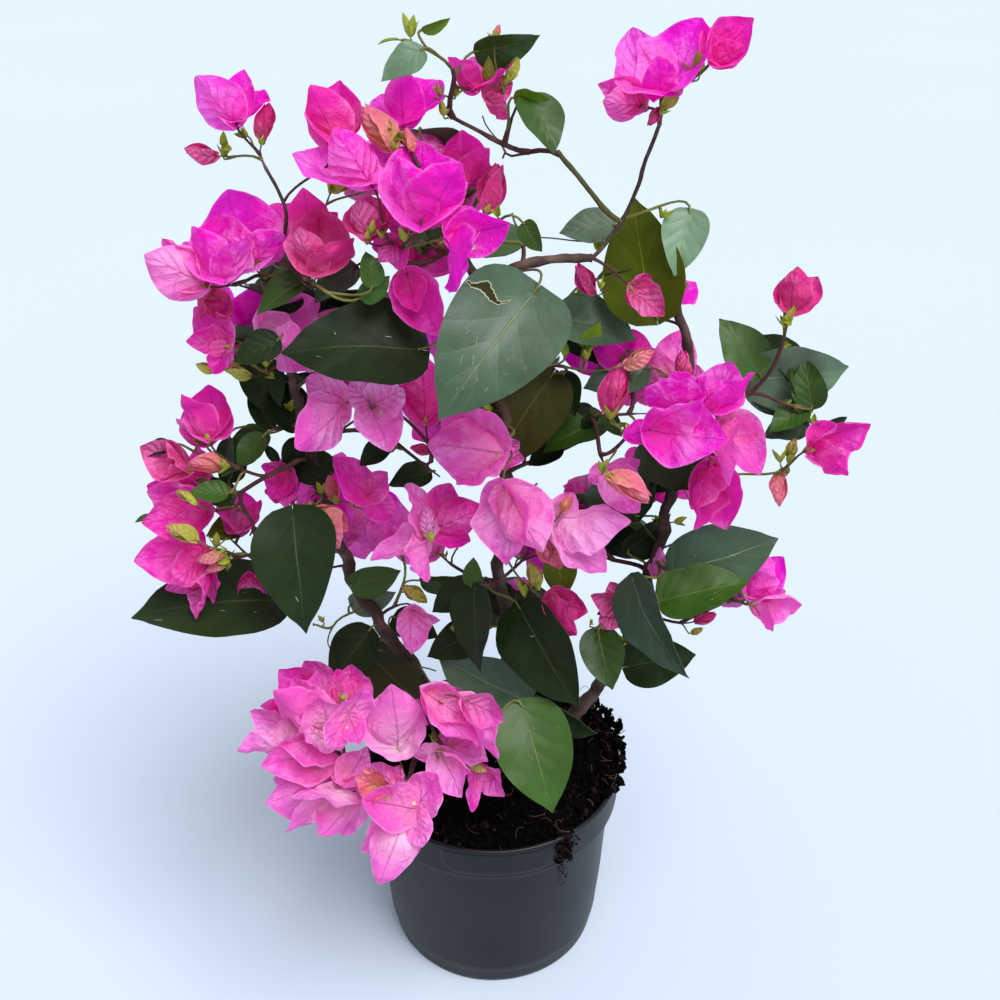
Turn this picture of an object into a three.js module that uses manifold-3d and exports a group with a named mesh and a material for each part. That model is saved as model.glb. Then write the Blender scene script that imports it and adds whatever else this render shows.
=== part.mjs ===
// A bougainvillea bush in its nursery pot, grown into a broad, flat fan.
// Millimetres, +Z up, origin at the middle of the pot's underside, -Y is the plant's front.
// The pot and soil are turned shapes, the stems and boughs are tapering limbs, and every mass of
// blossom or leaves is an uneven solid with its own place and size.
import * as THREE from "three";
import { mergeVertices } from "three/addons/utils/BufferGeometryUtils.js";
import Module from "manifold-3d";

const wasm = await Module();
wasm.setup();

// ---- Driving dimensions ----
const pot = {
  height: 141,
  rimRadius: 86,
  rimBand: 25, // depth of the wider band under the lip
  lip: 3, // width and drop of the rounded lip
  shoulderRadius: 80, // the body just under the band
  baseRadius: 75, // the body just above the foot step
  footRadius: 71.5,
  footHeight: 14,
  wall: 2.5,
  floor: 4,
  sides: 36,
};
const soil = {
  edgeHeight: 136, // where the soil meets the wall, a little under the lip
  crownHeight: 147, // the mound in the middle
  lumps: 2.5,
  sides: 24,
  rings: 5,
};
const limbs = {
  sides: 6,
  step: 28, // length of one straight stretch
  flare: 0.35, // how much wider the foot is than the taper alone makes it
  flareFade: 14, // how fast that flare dies away along the limb
};
const skin = {
  unevenness: 0.13, // how far a mass swells and dips, as a share of its radius
  lift: 0.12, // moves the waves outwards, so that dips stay shallow
  fineFrom: 46, // a mass with a longer half size than this gets the finer skin
};
const gap = 0.4; // clear space between two pieces that touch
const sliver = 0.1; // detail left out along a cut
const headroom = 6; // height kept free over the soil

const colours = {
  pot: 0x33393f,
  soil: 0x1c1512,
  bark: 0x4a352b,
  shoot: 0x6c6a3c,
  leaves: 0x35502f,
  bloom: 0xe63db4,
  paleBloom: 0xe884c0,
};

// Main stems, from the soil to the mass they end in. They run up through the foliage and stay whole.
const stems = [
  {
    name: "stem_left",
    route: [[-20, 4, 128], [-46, 6, 200], [-82, 6, 268], [-99, 6, 335], [-108, 5, 400], [-115, -2, 450],
      [-117, -10, 500]],
    foot: 4.6,
    tip: 2.4,
  },
  {
    name: "stem_centre",
    route: [[3, 10, 128], [8, 8, 190], [8, 4, 250], [3, 4, 310], [9, 8, 370], [0, 6, 430], [-12, 2, 485],
      [-22, 0, 540]],
    foot: 5,
    tip: 2.2,
  },
  {
    name: "stem_right",
    route: [[22, 2, 128], [58, 2, 180], [85, -3, 235], [99, 2, 300], [108, 7, 350], [112, 6, 400],
      [105, 8, 445], [84, 10, 485]],
    foot: 4.6,
    tip: 2.4,
  },
  {
    name: "stem_front",
    route: [[-6, -16, 128], [-16, -38, 165], [-30, -62, 195], [-34, -80, 229]],
    foot: 3.4,
    tip: 2.2,
  },
];

// Boughs and long shoots. Each ends where it enters a mass.
const boughs = [
  {
    name: "bough_arc",
    route: [[-9, 0, 470], [12, -8, 485], [38, -9, 490], [58, -4, 488], [76, 6, 486]],
    foot: 3,
    tip: 2,
    colour: colours.bark,
  },
  {
    name: "bough_right",
    route: [[113, 7, 396], [132, 8, 402], [160, 10, 412]],
    foot: 2.6,
    tip: 1.8,
    colour: colours.bark,
  },
  {
    name: "bough_centre_right",
    route: [[4, 3, 312], [24, -10, 326], [42, -38, 352]],
    foot: 2.8,
    tip: 1.8,
    colour: colours.bark,
  },
  {
    name: "bough_centre_left",
    route: [[4, 2, 324], [-16, -12, 336], [-36, -40, 350]],
    foot: 2.6,
    tip: 1.8,
    colour: colours.bark,
  },
  {
    name: "shoot_top",
    route: [[66, 6, 500], [44, 2, 528], [22, 0, 553], [0, 0, 576]],
    foot: 2.2,
    tip: 1.4,
    colour: colours.shoot,
  },
  {
    name: "twig_top_left",
    route: [[-96, -14, 510], [-108, -12, 532], [-123, -10, 558]],
    foot: 1.6,
    tip: 1.2,
    colour: colours.bark,
  },
  {
    name: "twig_top_right",
    route: [[68, 8, 500], [76, 3, 530], [87, -10, 575]],
    foot: 2,
    tip: 1.4,
    colour: colours.bark,
  },
];

// Masses of blossom and leaves: middle, and half the size in x, y and z.
const masses = [
  // Crown
  { name: "tip_top", at: [-14, 0, 582], half: [38, 18, 22], colour: colours.leaves },
  { name: "leaf_top_right", at: [27, 0, 556], half: [14, 9, 18], colour: colours.leaves },
  { name: "bloom_crown_right", at: [-24, 0, 547], half: [31, 27, 34], colour: colours.bloom },
  { name: "bloom_crown_left", at: [-70, -20, 549], half: [24, 25, 31], colour: colours.bloom },
  { name: "bloom_crown_front", at: [-20, -42, 519], half: [34, 25, 33], colour: colours.bloom },
  { name: "bloom_top_left", at: [-126, -10, 559], half: [26, 18, 23], colour: colours.bloom },
  { name: "bloom_upper_left", at: [-119, -20, 503], half: [54, 33, 26], colour: colours.bloom },
  { name: "bloom_top_right", at: [87, -10, 578], half: [38, 24, 25], colour: colours.bloom },
  { name: "leaves_upper_right", at: [74, 10, 485], half: [38, 22, 33], colour: colours.leaves },
  // Upper tier
  { name: "leaf_centre_front", at: [3, -50, 460], half: [34, 12, 42], colour: colours.leaves },
  { name: "leaf_left_front", at: [-71, -30, 454], half: [35, 14, 25], colour: colours.leaves },
  { name: "bloom_left_small", at: [-123, -10, 451], half: [38, 25, 24], colour: colours.bloom },
  { name: "leaves_centre_top", at: [59, 20, 439], half: [27, 18, 25], colour: colours.leaves },
  { name: "bloom_right_upper", at: [100, -27, 418], half: [47, 34, 35], colour: colours.bloom },
  { name: "leaves_right_top", at: [164, 10, 413], half: [38, 23, 38], colour: colours.leaves },
  { name: "bloom_right_tip", at: [163, 0, 466], half: [14, 14, 19], colour: colours.bloom },
  { name: "bloom_far_right", at: [182, -10, 372], half: [33, 22, 27], colour: colours.bloom },
  // Middle tier
  { name: "bloom_centre", at: [-14, -30, 406], half: [32, 26, 37], colour: colours.bloom },
  { name: "bloom_centre_left", at: [-75, -30, 410], half: [37, 26, 29], colour: colours.bloom },
  { name: "leaves_centre_back", at: [22, 12, 387], half: [35, 24, 38], colour: colours.leaves },
  { name: "bloom_centre_low", at: [-35, -40, 348], half: [34, 28, 35], colour: colours.bloom },
  { name: "bloom_centre_left_low", at: [-80, -20, 354], half: [28, 26, 30], colour: colours.bloom },
  { name: "bloom_centre_right", at: [42, -40, 355], half: [47, 28, 35], colour: colours.bloom },
  { name: "leaves_left", at: [-129, 0, 388], half: [25, 22, 28], colour: colours.leaves },
  { name: "bloom_left_upper", at: [-171, -10, 384], half: [29, 28, 35], colour: colours.bloom },
  { name: "bloom_left_lower", at: [-168, -20, 316], half: [43, 33, 47], colour: colours.bloom },
  { name: "leaf_left_hang", at: [-114, -30, 310], half: [27, 15, 40], colour: colours.leaves },
  { name: "bloom_right_lower", at: [133, -10, 357], half: [25, 23, 30], colour: colours.bloom },
  { name: "leaves_right_mid", at: [107, 10, 342], half: [21, 21, 38], colour: colours.leaves },
  // Lower tier
  { name: "leaves_right_low", at: [143, -20, 298], half: [43, 30, 35], colour: colours.leaves },
  { name: "leaves_right_hang", at: [88, -20, 255], half: [37, 23, 43], colour: colours.leaves },
  { name: "leaves_centre_low", at: [14, -20, 251], half: [53, 31, 45], colour: colours.leaves },
  { name: "leaves_left_low", at: [-55, 5, 253], half: [49, 28, 45], colour: colours.leaves },
  { name: "leaf_pot_front", at: [27, -56, 197], half: [27, 14, 40], colour: colours.leaves },
  { name: "bloom_low_right", at: [-33, -80, 229], half: [41, 33, 41], colour: colours.paleBloom },
  { name: "bloom_low_left", at: [-106, -80, 248], half: [39, 31, 32], colour: colours.paleBloom },
  { name: "bloom_low_front", at: [-94, -90, 196], half: [41, 31, 34], colour: colours.paleBloom },
  { name: "bloom_low_hang", at: [-56, -107, 176], half: [27, 23, 41], colour: colours.paleBloom },
  // Back of the fan
  { name: "back_crown", at: [-45, 38, 502], half: [48, 27, 38], colour: colours.bloom },
  { name: "back_left_upper", at: [-112, 40, 428], half: [46, 30, 44], colour: colours.leaves },
  { name: "back_right_upper", at: [104, 52, 420], half: [46, 30, 42], colour: colours.bloom },
  { name: "back_centre", at: [-8, 55, 385], half: [58, 31, 46], colour: colours.leaves },
  { name: "back_left_low", at: [-92, 44, 322], half: [50, 33, 48], colour: colours.bloom },
  { name: "back_right_low", at: [84, 50, 306], half: [50, 31, 46], colour: colours.leaves },
  { name: "back_low", at: [-4, 58, 262], half: [56, 31, 42], colour: colours.leaves },
];

// ---- Geometry to solid and back ----
function solidOf(geometry) {
  const bare = geometry.clone();
  bare.deleteAttribute("normal");
  bare.deleteAttribute("uv");
  const merged = mergeVertices(bare, 1e-4);
  return new wasm.Manifold(
    new wasm.Mesh({
      numProp: 3,
      vertProperties: new Float32Array(merged.attributes.position.array),
      triVerts: new Uint32Array(merged.index.array),
    }),
  );
}

function geometryOf(solid) {
  const mesh = solid.getMesh();
  return new THREE.BufferGeometry()
    .setAttribute("position", new THREE.BufferAttribute(new Float32Array(mesh.vertProperties), 3))
    .setIndex(new THREE.BufferAttribute(new Uint32Array(mesh.triVerts), 1));
}

// The largest of the bodies that a cut leaves, without the slivers along the cut.
function largest(solid) {
  const bodies = solid.simplify(sliver).decompose();
  return bodies.reduce((a, b) => (a.volume() > b.volume() ? a : b));
}

// A piece with the room that other pieces need, plus the gap, taken out of it.
function cutClear(solid, others) {
  let left = solid;
  for (const other of others) left = left.subtract(other);
  return largest(left);
}

// ---- Limbs ----
// A smooth route with a round section that tapers from foot to tip; grow widens and lengthens it.
function limb({ route, foot, tip }, grow = 0) {
  const curve = new THREE.CatmullRomCurve3(route.map((p) => new THREE.Vector3(...p)), false, "centripetal");
  const steps = Math.max(2, Math.round(curve.getLength() / limbs.step));
  const { sides } = limbs;
  const frames = curve.computeFrenetFrames(steps, false);
  const points = [];
  const faces = [];
  for (let i = 0; i <= steps; i++) {
    const along = i / steps;
    const flare = 1 + limbs.flare * Math.exp(-along * limbs.flareFade);
    const radius = THREE.MathUtils.lerp(foot, tip, along) * flare + grow;
    const middle = curve.getPointAt(along);
    if (i === 0) middle.addScaledVector(frames.tangents[0], -grow);
    if (i === steps) middle.addScaledVector(frames.tangents[steps], grow);
    for (let k = 0; k < sides; k++) {
      const turn = (2 * Math.PI * k) / sides;
      points.push(
        middle
          .clone()
          .addScaledVector(frames.normals[i], radius * Math.cos(turn))
          .addScaledVector(frames.binormals[i], radius * Math.sin(turn)),
      );
    }
  }
  for (let i = 0; i < steps; i++) {
    for (let k = 0; k < sides; k++) {
      const a = i * sides + k;
      const b = i * sides + ((k + 1) % sides);
      faces.push(a, b, a + sides, b, b + sides, a + sides);
    }
  }
  for (let k = 1; k < sides - 1; k++) {
    const last = steps * sides;
    faces.push(0, k + 1, k, last, last + k, last + k + 1);
  }
  return solidOf(new THREE.BufferGeometry().setFromPoints(points).setIndex(faces));
}

// ---- Masses ----
// A round body whose skin swells and dips by a few slow waves, different for each mass.
function mass({ at, half }, index, grow = 0) {
  const detail = Math.max(...half) > skin.fineFrom ? 2 : 1;
  const shape = new THREE.IcosahedronGeometry(1, detail);
  const places = shape.attributes.position;
  const way = new THREE.Vector3();
  const phase = index * 1.7;
  for (let i = 0; i < places.count; i++) {
    way.fromBufferAttribute(places, i).normalize();
    const waves =
      Math.sin(3.1 * way.x + 2.3 * way.z + phase) +
      Math.sin(4.3 * way.z - 2.9 * way.y + 2.1 * phase) +
      Math.sin(5.7 * way.y + 3.7 * way.x - 1.3 * phase);
    const swell = 1 + skin.unevenness * (waves / 3 + skin.lift);
    const spot = new THREE.Vector3(...half).multiply(way).multiplyScalar(swell);
    spot.addScaledVector(way, grow).add(new THREE.Vector3(...at));
    places.setXYZ(i, spot.x, spot.y, spot.z);
  }
  return solidOf(shape);
}

// ---- Pot and soil ----
function turned(outline, sides) {
  const points = outline.map(([r, z]) => new THREE.Vector2(r, z));
  return new THREE.LatheGeometry(points, sides).rotateX(Math.PI / 2);
}

function potInside(z) {
  const bandFoot = pot.height - pot.rimBand;
  const along = Math.min(1, Math.max(0, (z - pot.footHeight) / (bandFoot - pot.footHeight)));
  return THREE.MathUtils.lerp(pot.baseRadius, pot.shoulderRadius, along) - pot.wall;
}

function potGeometry() {
  const bandFoot = pot.height - pot.rimBand;
  const rimInside = pot.rimRadius - pot.lip - pot.wall;
  const outline = [
    [0, 0],
    [pot.footRadius, 0],
    [pot.footRadius + 1.2, 1.2],
    [pot.baseRadius - 1.4, pot.footHeight - 1],
    [pot.baseRadius, pot.footHeight],
    [pot.shoulderRadius, bandFoot - 2],
    [pot.rimRadius - 1, bandFoot],
    [pot.rimRadius - 0.4, pot.height - pot.lip],
    [pot.rimRadius, pot.height - 1],
    [pot.rimRadius - 1, pot.height],
    [pot.rimRadius - pot.lip, pot.height],
    [rimInside, pot.height - pot.lip],
    [potInside(bandFoot), bandFoot - 4],
    [potInside(pot.footHeight), pot.footHeight],
    [pot.footRadius - pot.wall, pot.floor],
    [0, pot.floor],
  ];
  return turned(outline, pot.sides);
}

function soilGeometry() {
  const bandFoot = pot.height - pot.rimBand;
  const rimInside = pot.rimRadius - pot.lip - pot.wall;
  const slope = (soil.edgeHeight - bandFoot + 4) / (pot.height - pot.lip - bandFoot + 4);
  const edge = THREE.MathUtils.lerp(potInside(bandFoot), rimInside, slope) - gap;
  const outline = [
    [0, pot.floor + gap],
    [pot.footRadius - pot.wall - gap, pot.floor + gap],
    [potInside(pot.footHeight) - gap, pot.footHeight],
    [potInside(bandFoot) - gap, bandFoot - 4],
    [edge, soil.edgeHeight],
  ];
  for (let ring = 1; ring < soil.rings; ring++) {
    const out = 1 - ring / soil.rings;
    const rise = (soil.crownHeight - soil.edgeHeight) * (1 - out * out);
    outline.push([edge * out, soil.edgeHeight + rise]);
  }
  outline.push([0, soil.crownHeight]);
  const shape = turned(outline, soil.sides);
  const places = shape.attributes.position;
  for (let i = 0; i < places.count; i++) {
    const [x, y, z] = [places.getX(i), places.getY(i), places.getZ(i)];
    if (z <= soil.edgeHeight + 0.5) continue;
    const inward = 1 - (x * x + y * y) / (edge * edge);
    const lumps = Math.sin(x / 9 + 1) * Math.cos(y / 8) + Math.sin((x - y) / 6);
    places.setZ(i, z + soil.lumps * lumps * Math.min(1, 3 * inward));
  }
  return shape;
}

// ---- Assembly ----
const group = new THREE.Group();
group.name = "bougainvillea_in_pot";

function add(name, solid, colour, roughness) {
  const material = new THREE.MeshStandardMaterial({ color: colour, roughness, metalness: 0 });
  material.flatShading = true;
  const mesh = new THREE.Mesh(geometryOf(solid), material);
  mesh.name = name;
  group.add(mesh);
}

// Whether a limb's tip lies well inside a mass.
function endsIn({ route }, { at, half }) {
  const away = route.at(-1).map((v, k) => (v - at[k]) / half[k]);
  return Math.hypot(...away) < 0.8;
}

const potTop = soil.crownHeight + headroom;
const potRoom = solidOf(
  new THREE.CylinderGeometry(pot.rimRadius + 1, pot.rimRadius + 1, potTop, pot.sides)
    .rotateX(Math.PI / 2)
    .translate(0, 0, potTop / 2),
);
const stemRooms = stems.map((stem) => limb(stem, gap));
add("pot", solidOf(potGeometry()), colours.pot, 0.45);
add("soil", cutClear(solidOf(soilGeometry()), stemRooms), colours.soil, 0.95);

// Each mass gives way to the pot, to the stems that pass and to the masses made before it.
const massRooms = [];
for (const [index, one] of masses.entries()) {
  const passing = stemRooms.filter((room, k) => !endsIn(stems[k], one));
  add(one.name, cutClear(mass(one, index), [potRoom, ...massRooms, ...passing]), one.colour, 0.8);
  massRooms.push(mass(one, index, gap));
}

// A main stem stops at the mass that its tip lies in.
for (const stem of stems) {
  const ends = massRooms.filter((room, k) => endsIn(stem, masses[k]));
  add(stem.name, cutClear(limb(stem), ends), colours.bark, 0.85);
}

// A bough starts on a main stem, or on a mass, and stops where it enters the next mass.
const boughRooms = [];
for (const bough of boughs) {
  add(bough.name, cutClear(limb(bough), [...massRooms, ...stemRooms, ...boughRooms]), bough.colour, 0.8);
  boughRooms.push(limb(bough, gap));
}

export default group;
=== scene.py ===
import math

import bpy
import numpy as np
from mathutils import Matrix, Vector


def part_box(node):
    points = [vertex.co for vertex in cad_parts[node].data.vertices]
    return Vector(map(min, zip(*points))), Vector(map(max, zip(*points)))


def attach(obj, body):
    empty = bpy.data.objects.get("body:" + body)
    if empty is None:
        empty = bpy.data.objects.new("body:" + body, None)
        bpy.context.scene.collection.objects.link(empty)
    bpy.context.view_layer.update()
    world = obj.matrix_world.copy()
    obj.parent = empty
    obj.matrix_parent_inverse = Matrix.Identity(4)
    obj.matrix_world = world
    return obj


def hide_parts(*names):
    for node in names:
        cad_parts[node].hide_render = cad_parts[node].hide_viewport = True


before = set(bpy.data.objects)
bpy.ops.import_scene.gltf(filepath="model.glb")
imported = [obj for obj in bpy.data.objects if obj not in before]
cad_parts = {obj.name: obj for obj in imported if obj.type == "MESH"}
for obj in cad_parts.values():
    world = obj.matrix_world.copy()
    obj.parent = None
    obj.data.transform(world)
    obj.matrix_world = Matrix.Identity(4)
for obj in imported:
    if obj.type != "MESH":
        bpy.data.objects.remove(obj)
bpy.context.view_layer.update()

# A bougainvillea in its nursery pot: bark, twigs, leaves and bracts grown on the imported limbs.
# Metres, +Z up, the plant's front towards -Y.


def seeded(*keys):
    return np.random.default_rng([int(k) for k in keys])


def unit(v):
    v = np.asarray(v, float)
    return v / max(np.linalg.norm(v), 1e-9)


def linear(red, green, blue):
    # a screen colour, 0 to 255, as the linear colour that a shader takes
    def one(c):
        c /= 255
        return c / 12.92 if c <= 0.04045 else ((c + 0.055) / 1.055) ** 2.4

    return (one(red), one(green), one(blue), 1.0)


def boxOf(node):
    low, high = (np.array(corner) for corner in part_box(node))
    return (low + high) / 2, (high - low) / 2


def ripple(points, scale, seed, waves=6):
    # smooth seeded unevenness between about -1 and 1, for any array of points
    rng = seeded(seed, 77)
    total = np.zeros(points.shape[:-1])
    for _ in range(waves):
        way = unit(rng.normal(size=3)) * 2 * math.pi / (scale * rng.uniform(0.6, 1.6))
        total += np.sin(points @ way + rng.uniform(0, 2 * math.pi))
    return total / math.sqrt(waves)


# Leaves and blooms face the light, which reaches the fan from the front and above. aim turns a direction
# in the plane square to that light (0 right, 90 up), lean tips it towards the light.
lightRise = math.radians(30)
faceRight = np.array([1.0, 0.0, 0.0])
faceUp = np.array([0.0, math.sin(lightRise), math.cos(lightRise)])
faceOut = np.array([0.0, -math.cos(lightRise), math.sin(lightRise)])


def heading(aim, lean=0.0):
    a, b = math.radians(aim), math.radians(lean)
    return math.cos(b) * (math.cos(a) * faceRight + math.sin(a) * faceUp) + math.sin(b) * faceOut


def frameOf(along, normal, roll=0.0):
    # columns: across, along, normal
    along = unit(along)
    normal = normal - along * (normal @ along)
    if np.linalg.norm(normal) < 1e-3:
        normal = np.cross(along, faceRight)
    normal = unit(normal)
    across = np.cross(along, normal)
    c, s = math.cos(math.radians(roll)), math.sin(math.radians(roll))
    return np.stack([across * c - normal * s, along, normal * c + across * s], axis=1)


tally = []  # the triangles of each piece that is built


class Heap:
    # gathers many small grids of faces into one mesh
    def __init__(self, name):
        self.name = name
        self.points, self.quads, self.slots = [], [], []
        self.grain, self.dealt, self.inCell, self.cell = [], [], [], []
        self.total = 0
        self.cells = 0

    def grid(self, points, grain=None, chance=(0.5, 0.5), slot=0, wrap=False, flip=False, newCell=True):
        rows, columns = points.shape[:2]
        index = self.total + np.arange(rows * columns).reshape(rows, columns)
        self.points.append(points.reshape(-1, 3))
        self.total += rows * columns
        if wrap:
            index = np.hstack([index, index[:, :1]])
        wide = index.shape[1]
        across, along = np.meshgrid(np.linspace(0, 1, wide), np.linspace(0, 1, rows))
        place = np.stack([across, along], axis=-1)
        grain = place if grain is None else grain
        corners = [(0, 0), (0, 1), (1, 1), (1, 0)]
        if flip:
            corners = corners[::-1]

        def cut(a):
            parts = [a[i : rows - 1 + i, j : wide - 1 + j] for i, j in corners]
            return np.stack(parts, axis=2).reshape(-1, 4, *a.shape[2:])

        quads = cut(index)
        self.quads.append(quads)
        self.grain.append(cut(grain))
        self.inCell.append(cut(place))
        self.dealt.append(np.broadcast_to(np.array(chance, float), (len(quads), 4, 2)))
        self.slots.append(np.full(len(quads), slot))
        self.cells += newCell
        self.cell.append(np.full(len(quads), self.cells - 1))

    def build(self, finishes, slotName, replaced=()):
        points = np.concatenate(self.points)
        quads = np.concatenate(self.quads)
        mesh = bpy.data.meshes.new(self.name)
        mesh.vertices.add(len(points))
        mesh.vertices.foreach_set("co", points.astype(np.float32).ravel())
        mesh.loops.add(quads.size)
        mesh.loops.foreach_set("vertex_index", quads.astype(np.int32).ravel())
        mesh.polygons.add(len(quads))
        mesh.polygons.foreach_set("loop_start", np.arange(0, quads.size, 4, dtype=np.int32))
        mesh.update(calc_edges=True)
        mesh.polygons.foreach_set("material_index", np.concatenate(self.slots).astype(np.int32))
        mesh.polygons.foreach_set("use_smooth", np.full(len(quads), True))
        side = math.ceil(math.sqrt(max(1, self.cells)))
        cell = np.concatenate(self.cell)
        corner = np.stack([cell % side, cell // side], axis=-1)[:, None, :]
        margin = 0.06
        baked = (corner + margin + (1 - 2 * margin) * np.concatenate(self.inCell)) / side
        for name, values in (
            ("OFBake", baked),
            ("grain", np.concatenate(self.grain)),
            ("dealt", np.concatenate(self.dealt)),
        ):
            layer = mesh.uv_layers.new(name=name)
            layer.data.foreach_set("uv", values.astype(np.float32).ravel())
        for finish in finishes:
            mesh.materials.append(finish)
        piece = bpy.data.objects.new(self.name, mesh)
        bpy.context.scene.collection.objects.link(piece)
        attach(piece, "root")
        if replaced:
            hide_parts(*replaced)
        tally.append(2 * len(quads))
        print("piece", self.name, tally[-1], "triangles")


def tube(path, radii, sides, bumps=None):
    # a round tube along a path, its rings carried on without twisting
    path = np.asarray(path, float)
    radii = np.broadcast_to(radii, len(path))
    ahead = np.gradient(path, axis=0)
    ahead /= np.linalg.norm(ahead, axis=1, keepdims=True)
    side = unit(np.cross(ahead[0], [0.3, 0.9, 0.2]))
    turn = np.arange(sides) * 2 * math.pi / sides
    rings = []
    for at, way, radius in zip(path, ahead, radii):
        side = unit(side - way * (side @ way))
        other = np.cross(way, side)
        ring = np.cos(turn)[:, None] * side + np.sin(turn)[:, None] * other
        rings.append(at + ring * radius)
    rings = np.array(rings)
    if bumps is not None:
        rings += (rings - path[:, None, :]) / radii[:, None, None] * bumps(rings, radii)[..., None]
    return rings


def lengths(path):
    steps = np.linalg.norm(np.diff(path, axis=0), axis=1)
    return np.concatenate([[0.0], np.cumsum(steps)])


def resample(path, step):
    run = lengths(path)
    count = max(3, int(run[-1] / step) + 1)
    at = np.linspace(0, run[-1], count)
    return np.stack([np.interp(at, run, path[:, k]) for k in range(3)], axis=1)


def smoothed(path, rounds=2):
    for _ in range(rounds):
        inner = (path[:-2] + 2 * path[1:-1] + path[2:]) / 4
        path = np.vstack([path[:1], inner, path[-1:]])
    return path


class Value:
    # a socket that can be used in plain arithmetic
    def __init__(self, tree, socket):
        self.tree, self.socket = tree, socket

    def maths(self, operation, other=0.0, swapped=False):
        node = self.tree.nodes.new("ShaderNodeMath")
        node.operation = operation
        for socket, value in zip(node.inputs, (other, self) if swapped else (self, other)):
            if isinstance(value, Value):
                self.tree.links.new(value.socket, socket)
            else:
                socket.default_value = value
        return Value(self.tree, node.outputs[0])

    def __add__(self, other):
        return self.maths("ADD", other)

    def __sub__(self, other):
        return self.maths("SUBTRACT", other)

    def __mul__(self, other):
        return self.maths("MULTIPLY", other)

    def __rsub__(self, other):
        return self.maths("SUBTRACT", other, True)

    __radd__ = __add__
    __rmul__ = __mul__

    def limit(self):
        self.socket.node.use_clamp = True
        return self

    def size(self):
        return self.maths("ABSOLUTE")


class Finish:
    # one material: a Principled shader with its constants, and any other node by one method
    def __init__(self, name, **constants):
        self.material = bpy.data.materials.new(name)
        self.material.use_nodes = True
        self.tree = self.material.node_tree
        self.shader = self.tree.nodes["Principled BSDF"]
        for key, value in constants.items():
            self.shader.inputs[key.replace("_", " ")].default_value = value

    def node(self, kind, settings=None, out=0, **sockets):
        node = self.tree.nodes.new("ShaderNode" + kind)
        for key, value in (settings or {}).items():
            setattr(node, key, value)
        for key, value in sockets.items():
            # i6 is the seventh socket, and any other key is a socket's name
            place = int(key[1:]) if key[1:].isdigit() else key.replace("_", " ")
            socket = node.inputs[place]
            if isinstance(value, Value):
                self.tree.links.new(value.socket, socket)
            else:
                socket.default_value = value
        return Value(self.tree, node.outputs[out])

    def feed(self, **sockets):
        for key, value in sockets.items():
            self.tree.links.new(value.socket, self.shader.inputs[key.replace("_", " ")])

    def blend(self, factor, first, second):
        settings = {"data_type": "RGBA"}
        return self.node("Mix", settings, out=2, i0=factor, i6=first, i7=second)

    def noise(self, vector, scale, detail=3.0, rough=0.5):
        return self.node("TexNoise", Vector=vector, Scale=scale, Detail=detail, Roughness=rough)

    def bump(self, height, distance, strength=1.0):
        return self.node("Bump", Height=height, Distance=distance, Strength=strength)

    def bladePlace(self):
        # across a blade from -1 to 1, along it from 0 to 1, and two numbers dealt to each blade
        found = []
        for layer in ("grain", "dealt"):
            parts = self.node("SeparateXYZ", Vector=self.node("UVMap", {"uv_map": layer}))
            found += [Value(self.tree, socket) for socket in parts.socket.node.outputs[:2]]
        return found


def bladeParts(finish, shape):
    # where the pairs of side veins and the puffed fields between them lie
    across, along, luck, otherLuck = finish.bladePlace()
    side, slant = across.size(), shape["slant"]
    where = finish.node("TexCoord", out=3)
    stray = (finish.noise(where, 60.0, 2.0) - 0.5) * 0.16
    run = (along - side * slant + side * side * (0.35 * slant) + stray * side) * shape["veins"]
    puff = (run * math.pi).maths("SINE").size()
    line = (1 - puff * 5.0).limit() * (1 - side * side * 0.7)
    return side, along, luck, otherLuck, puff, line


def lit(finish, glow, share):
    # some of the light comes through the blade
    through = finish.node("BsdfTranslucent", Color=glow)
    mixed = finish.node("MixShader", Fac=share)
    links, node = finish.tree.links, mixed.socket.node
    links.new(finish.shader.outputs[0], node.inputs[1])
    links.new(through.socket, node.inputs[2])
    links.new(mixed.socket, finish.tree.nodes["Material Output"].inputs["Surface"])
    return finish.material


def toned(colour, factor):
    return tuple(min(1.0, c * factor) for c in colour[:3]) + (1.0,)


def leafFinish(name, colour, vein, under, gloss, shine=0.3):
    finish = Finish(name, Specular_IOR_Level=shine)
    side, along, luck, _, puff, line = bladeParts(finish, leafShape)
    where = finish.node("TexCoord", out=3)
    mottle = finish.noise(where, 70.0, 4.0, 0.6)
    fine = finish.noise(where, 1100.0, 2.0)
    tone = (mottle * 0.9 + luck * 0.7 - 0.3).limit()
    flesh = finish.blend(tone, toned(colour, 0.62), toned(colour, 1.6))
    rib = (1 - side * 34.0).limit() * (1.02 - along * along * 0.8).limit()
    veined = finish.blend((line * (0.35 if under else 0.10) + rib * 0.7).limit(), flesh, vein)
    finish.feed(Base_Color=veined)
    finish.feed(Roughness=mottle * 0.24 + fine * 0.08 + (gloss - 0.16))
    relief = puff * 0.5 - rib if not under else rib + line * 0.5
    finish.feed(Normal=finish.bump(relief + mottle * 1.2 + fine * 0.12, 0.0006, 0.5))
    return lit(finish, toned(colour, 2.0), 0.12)


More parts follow.
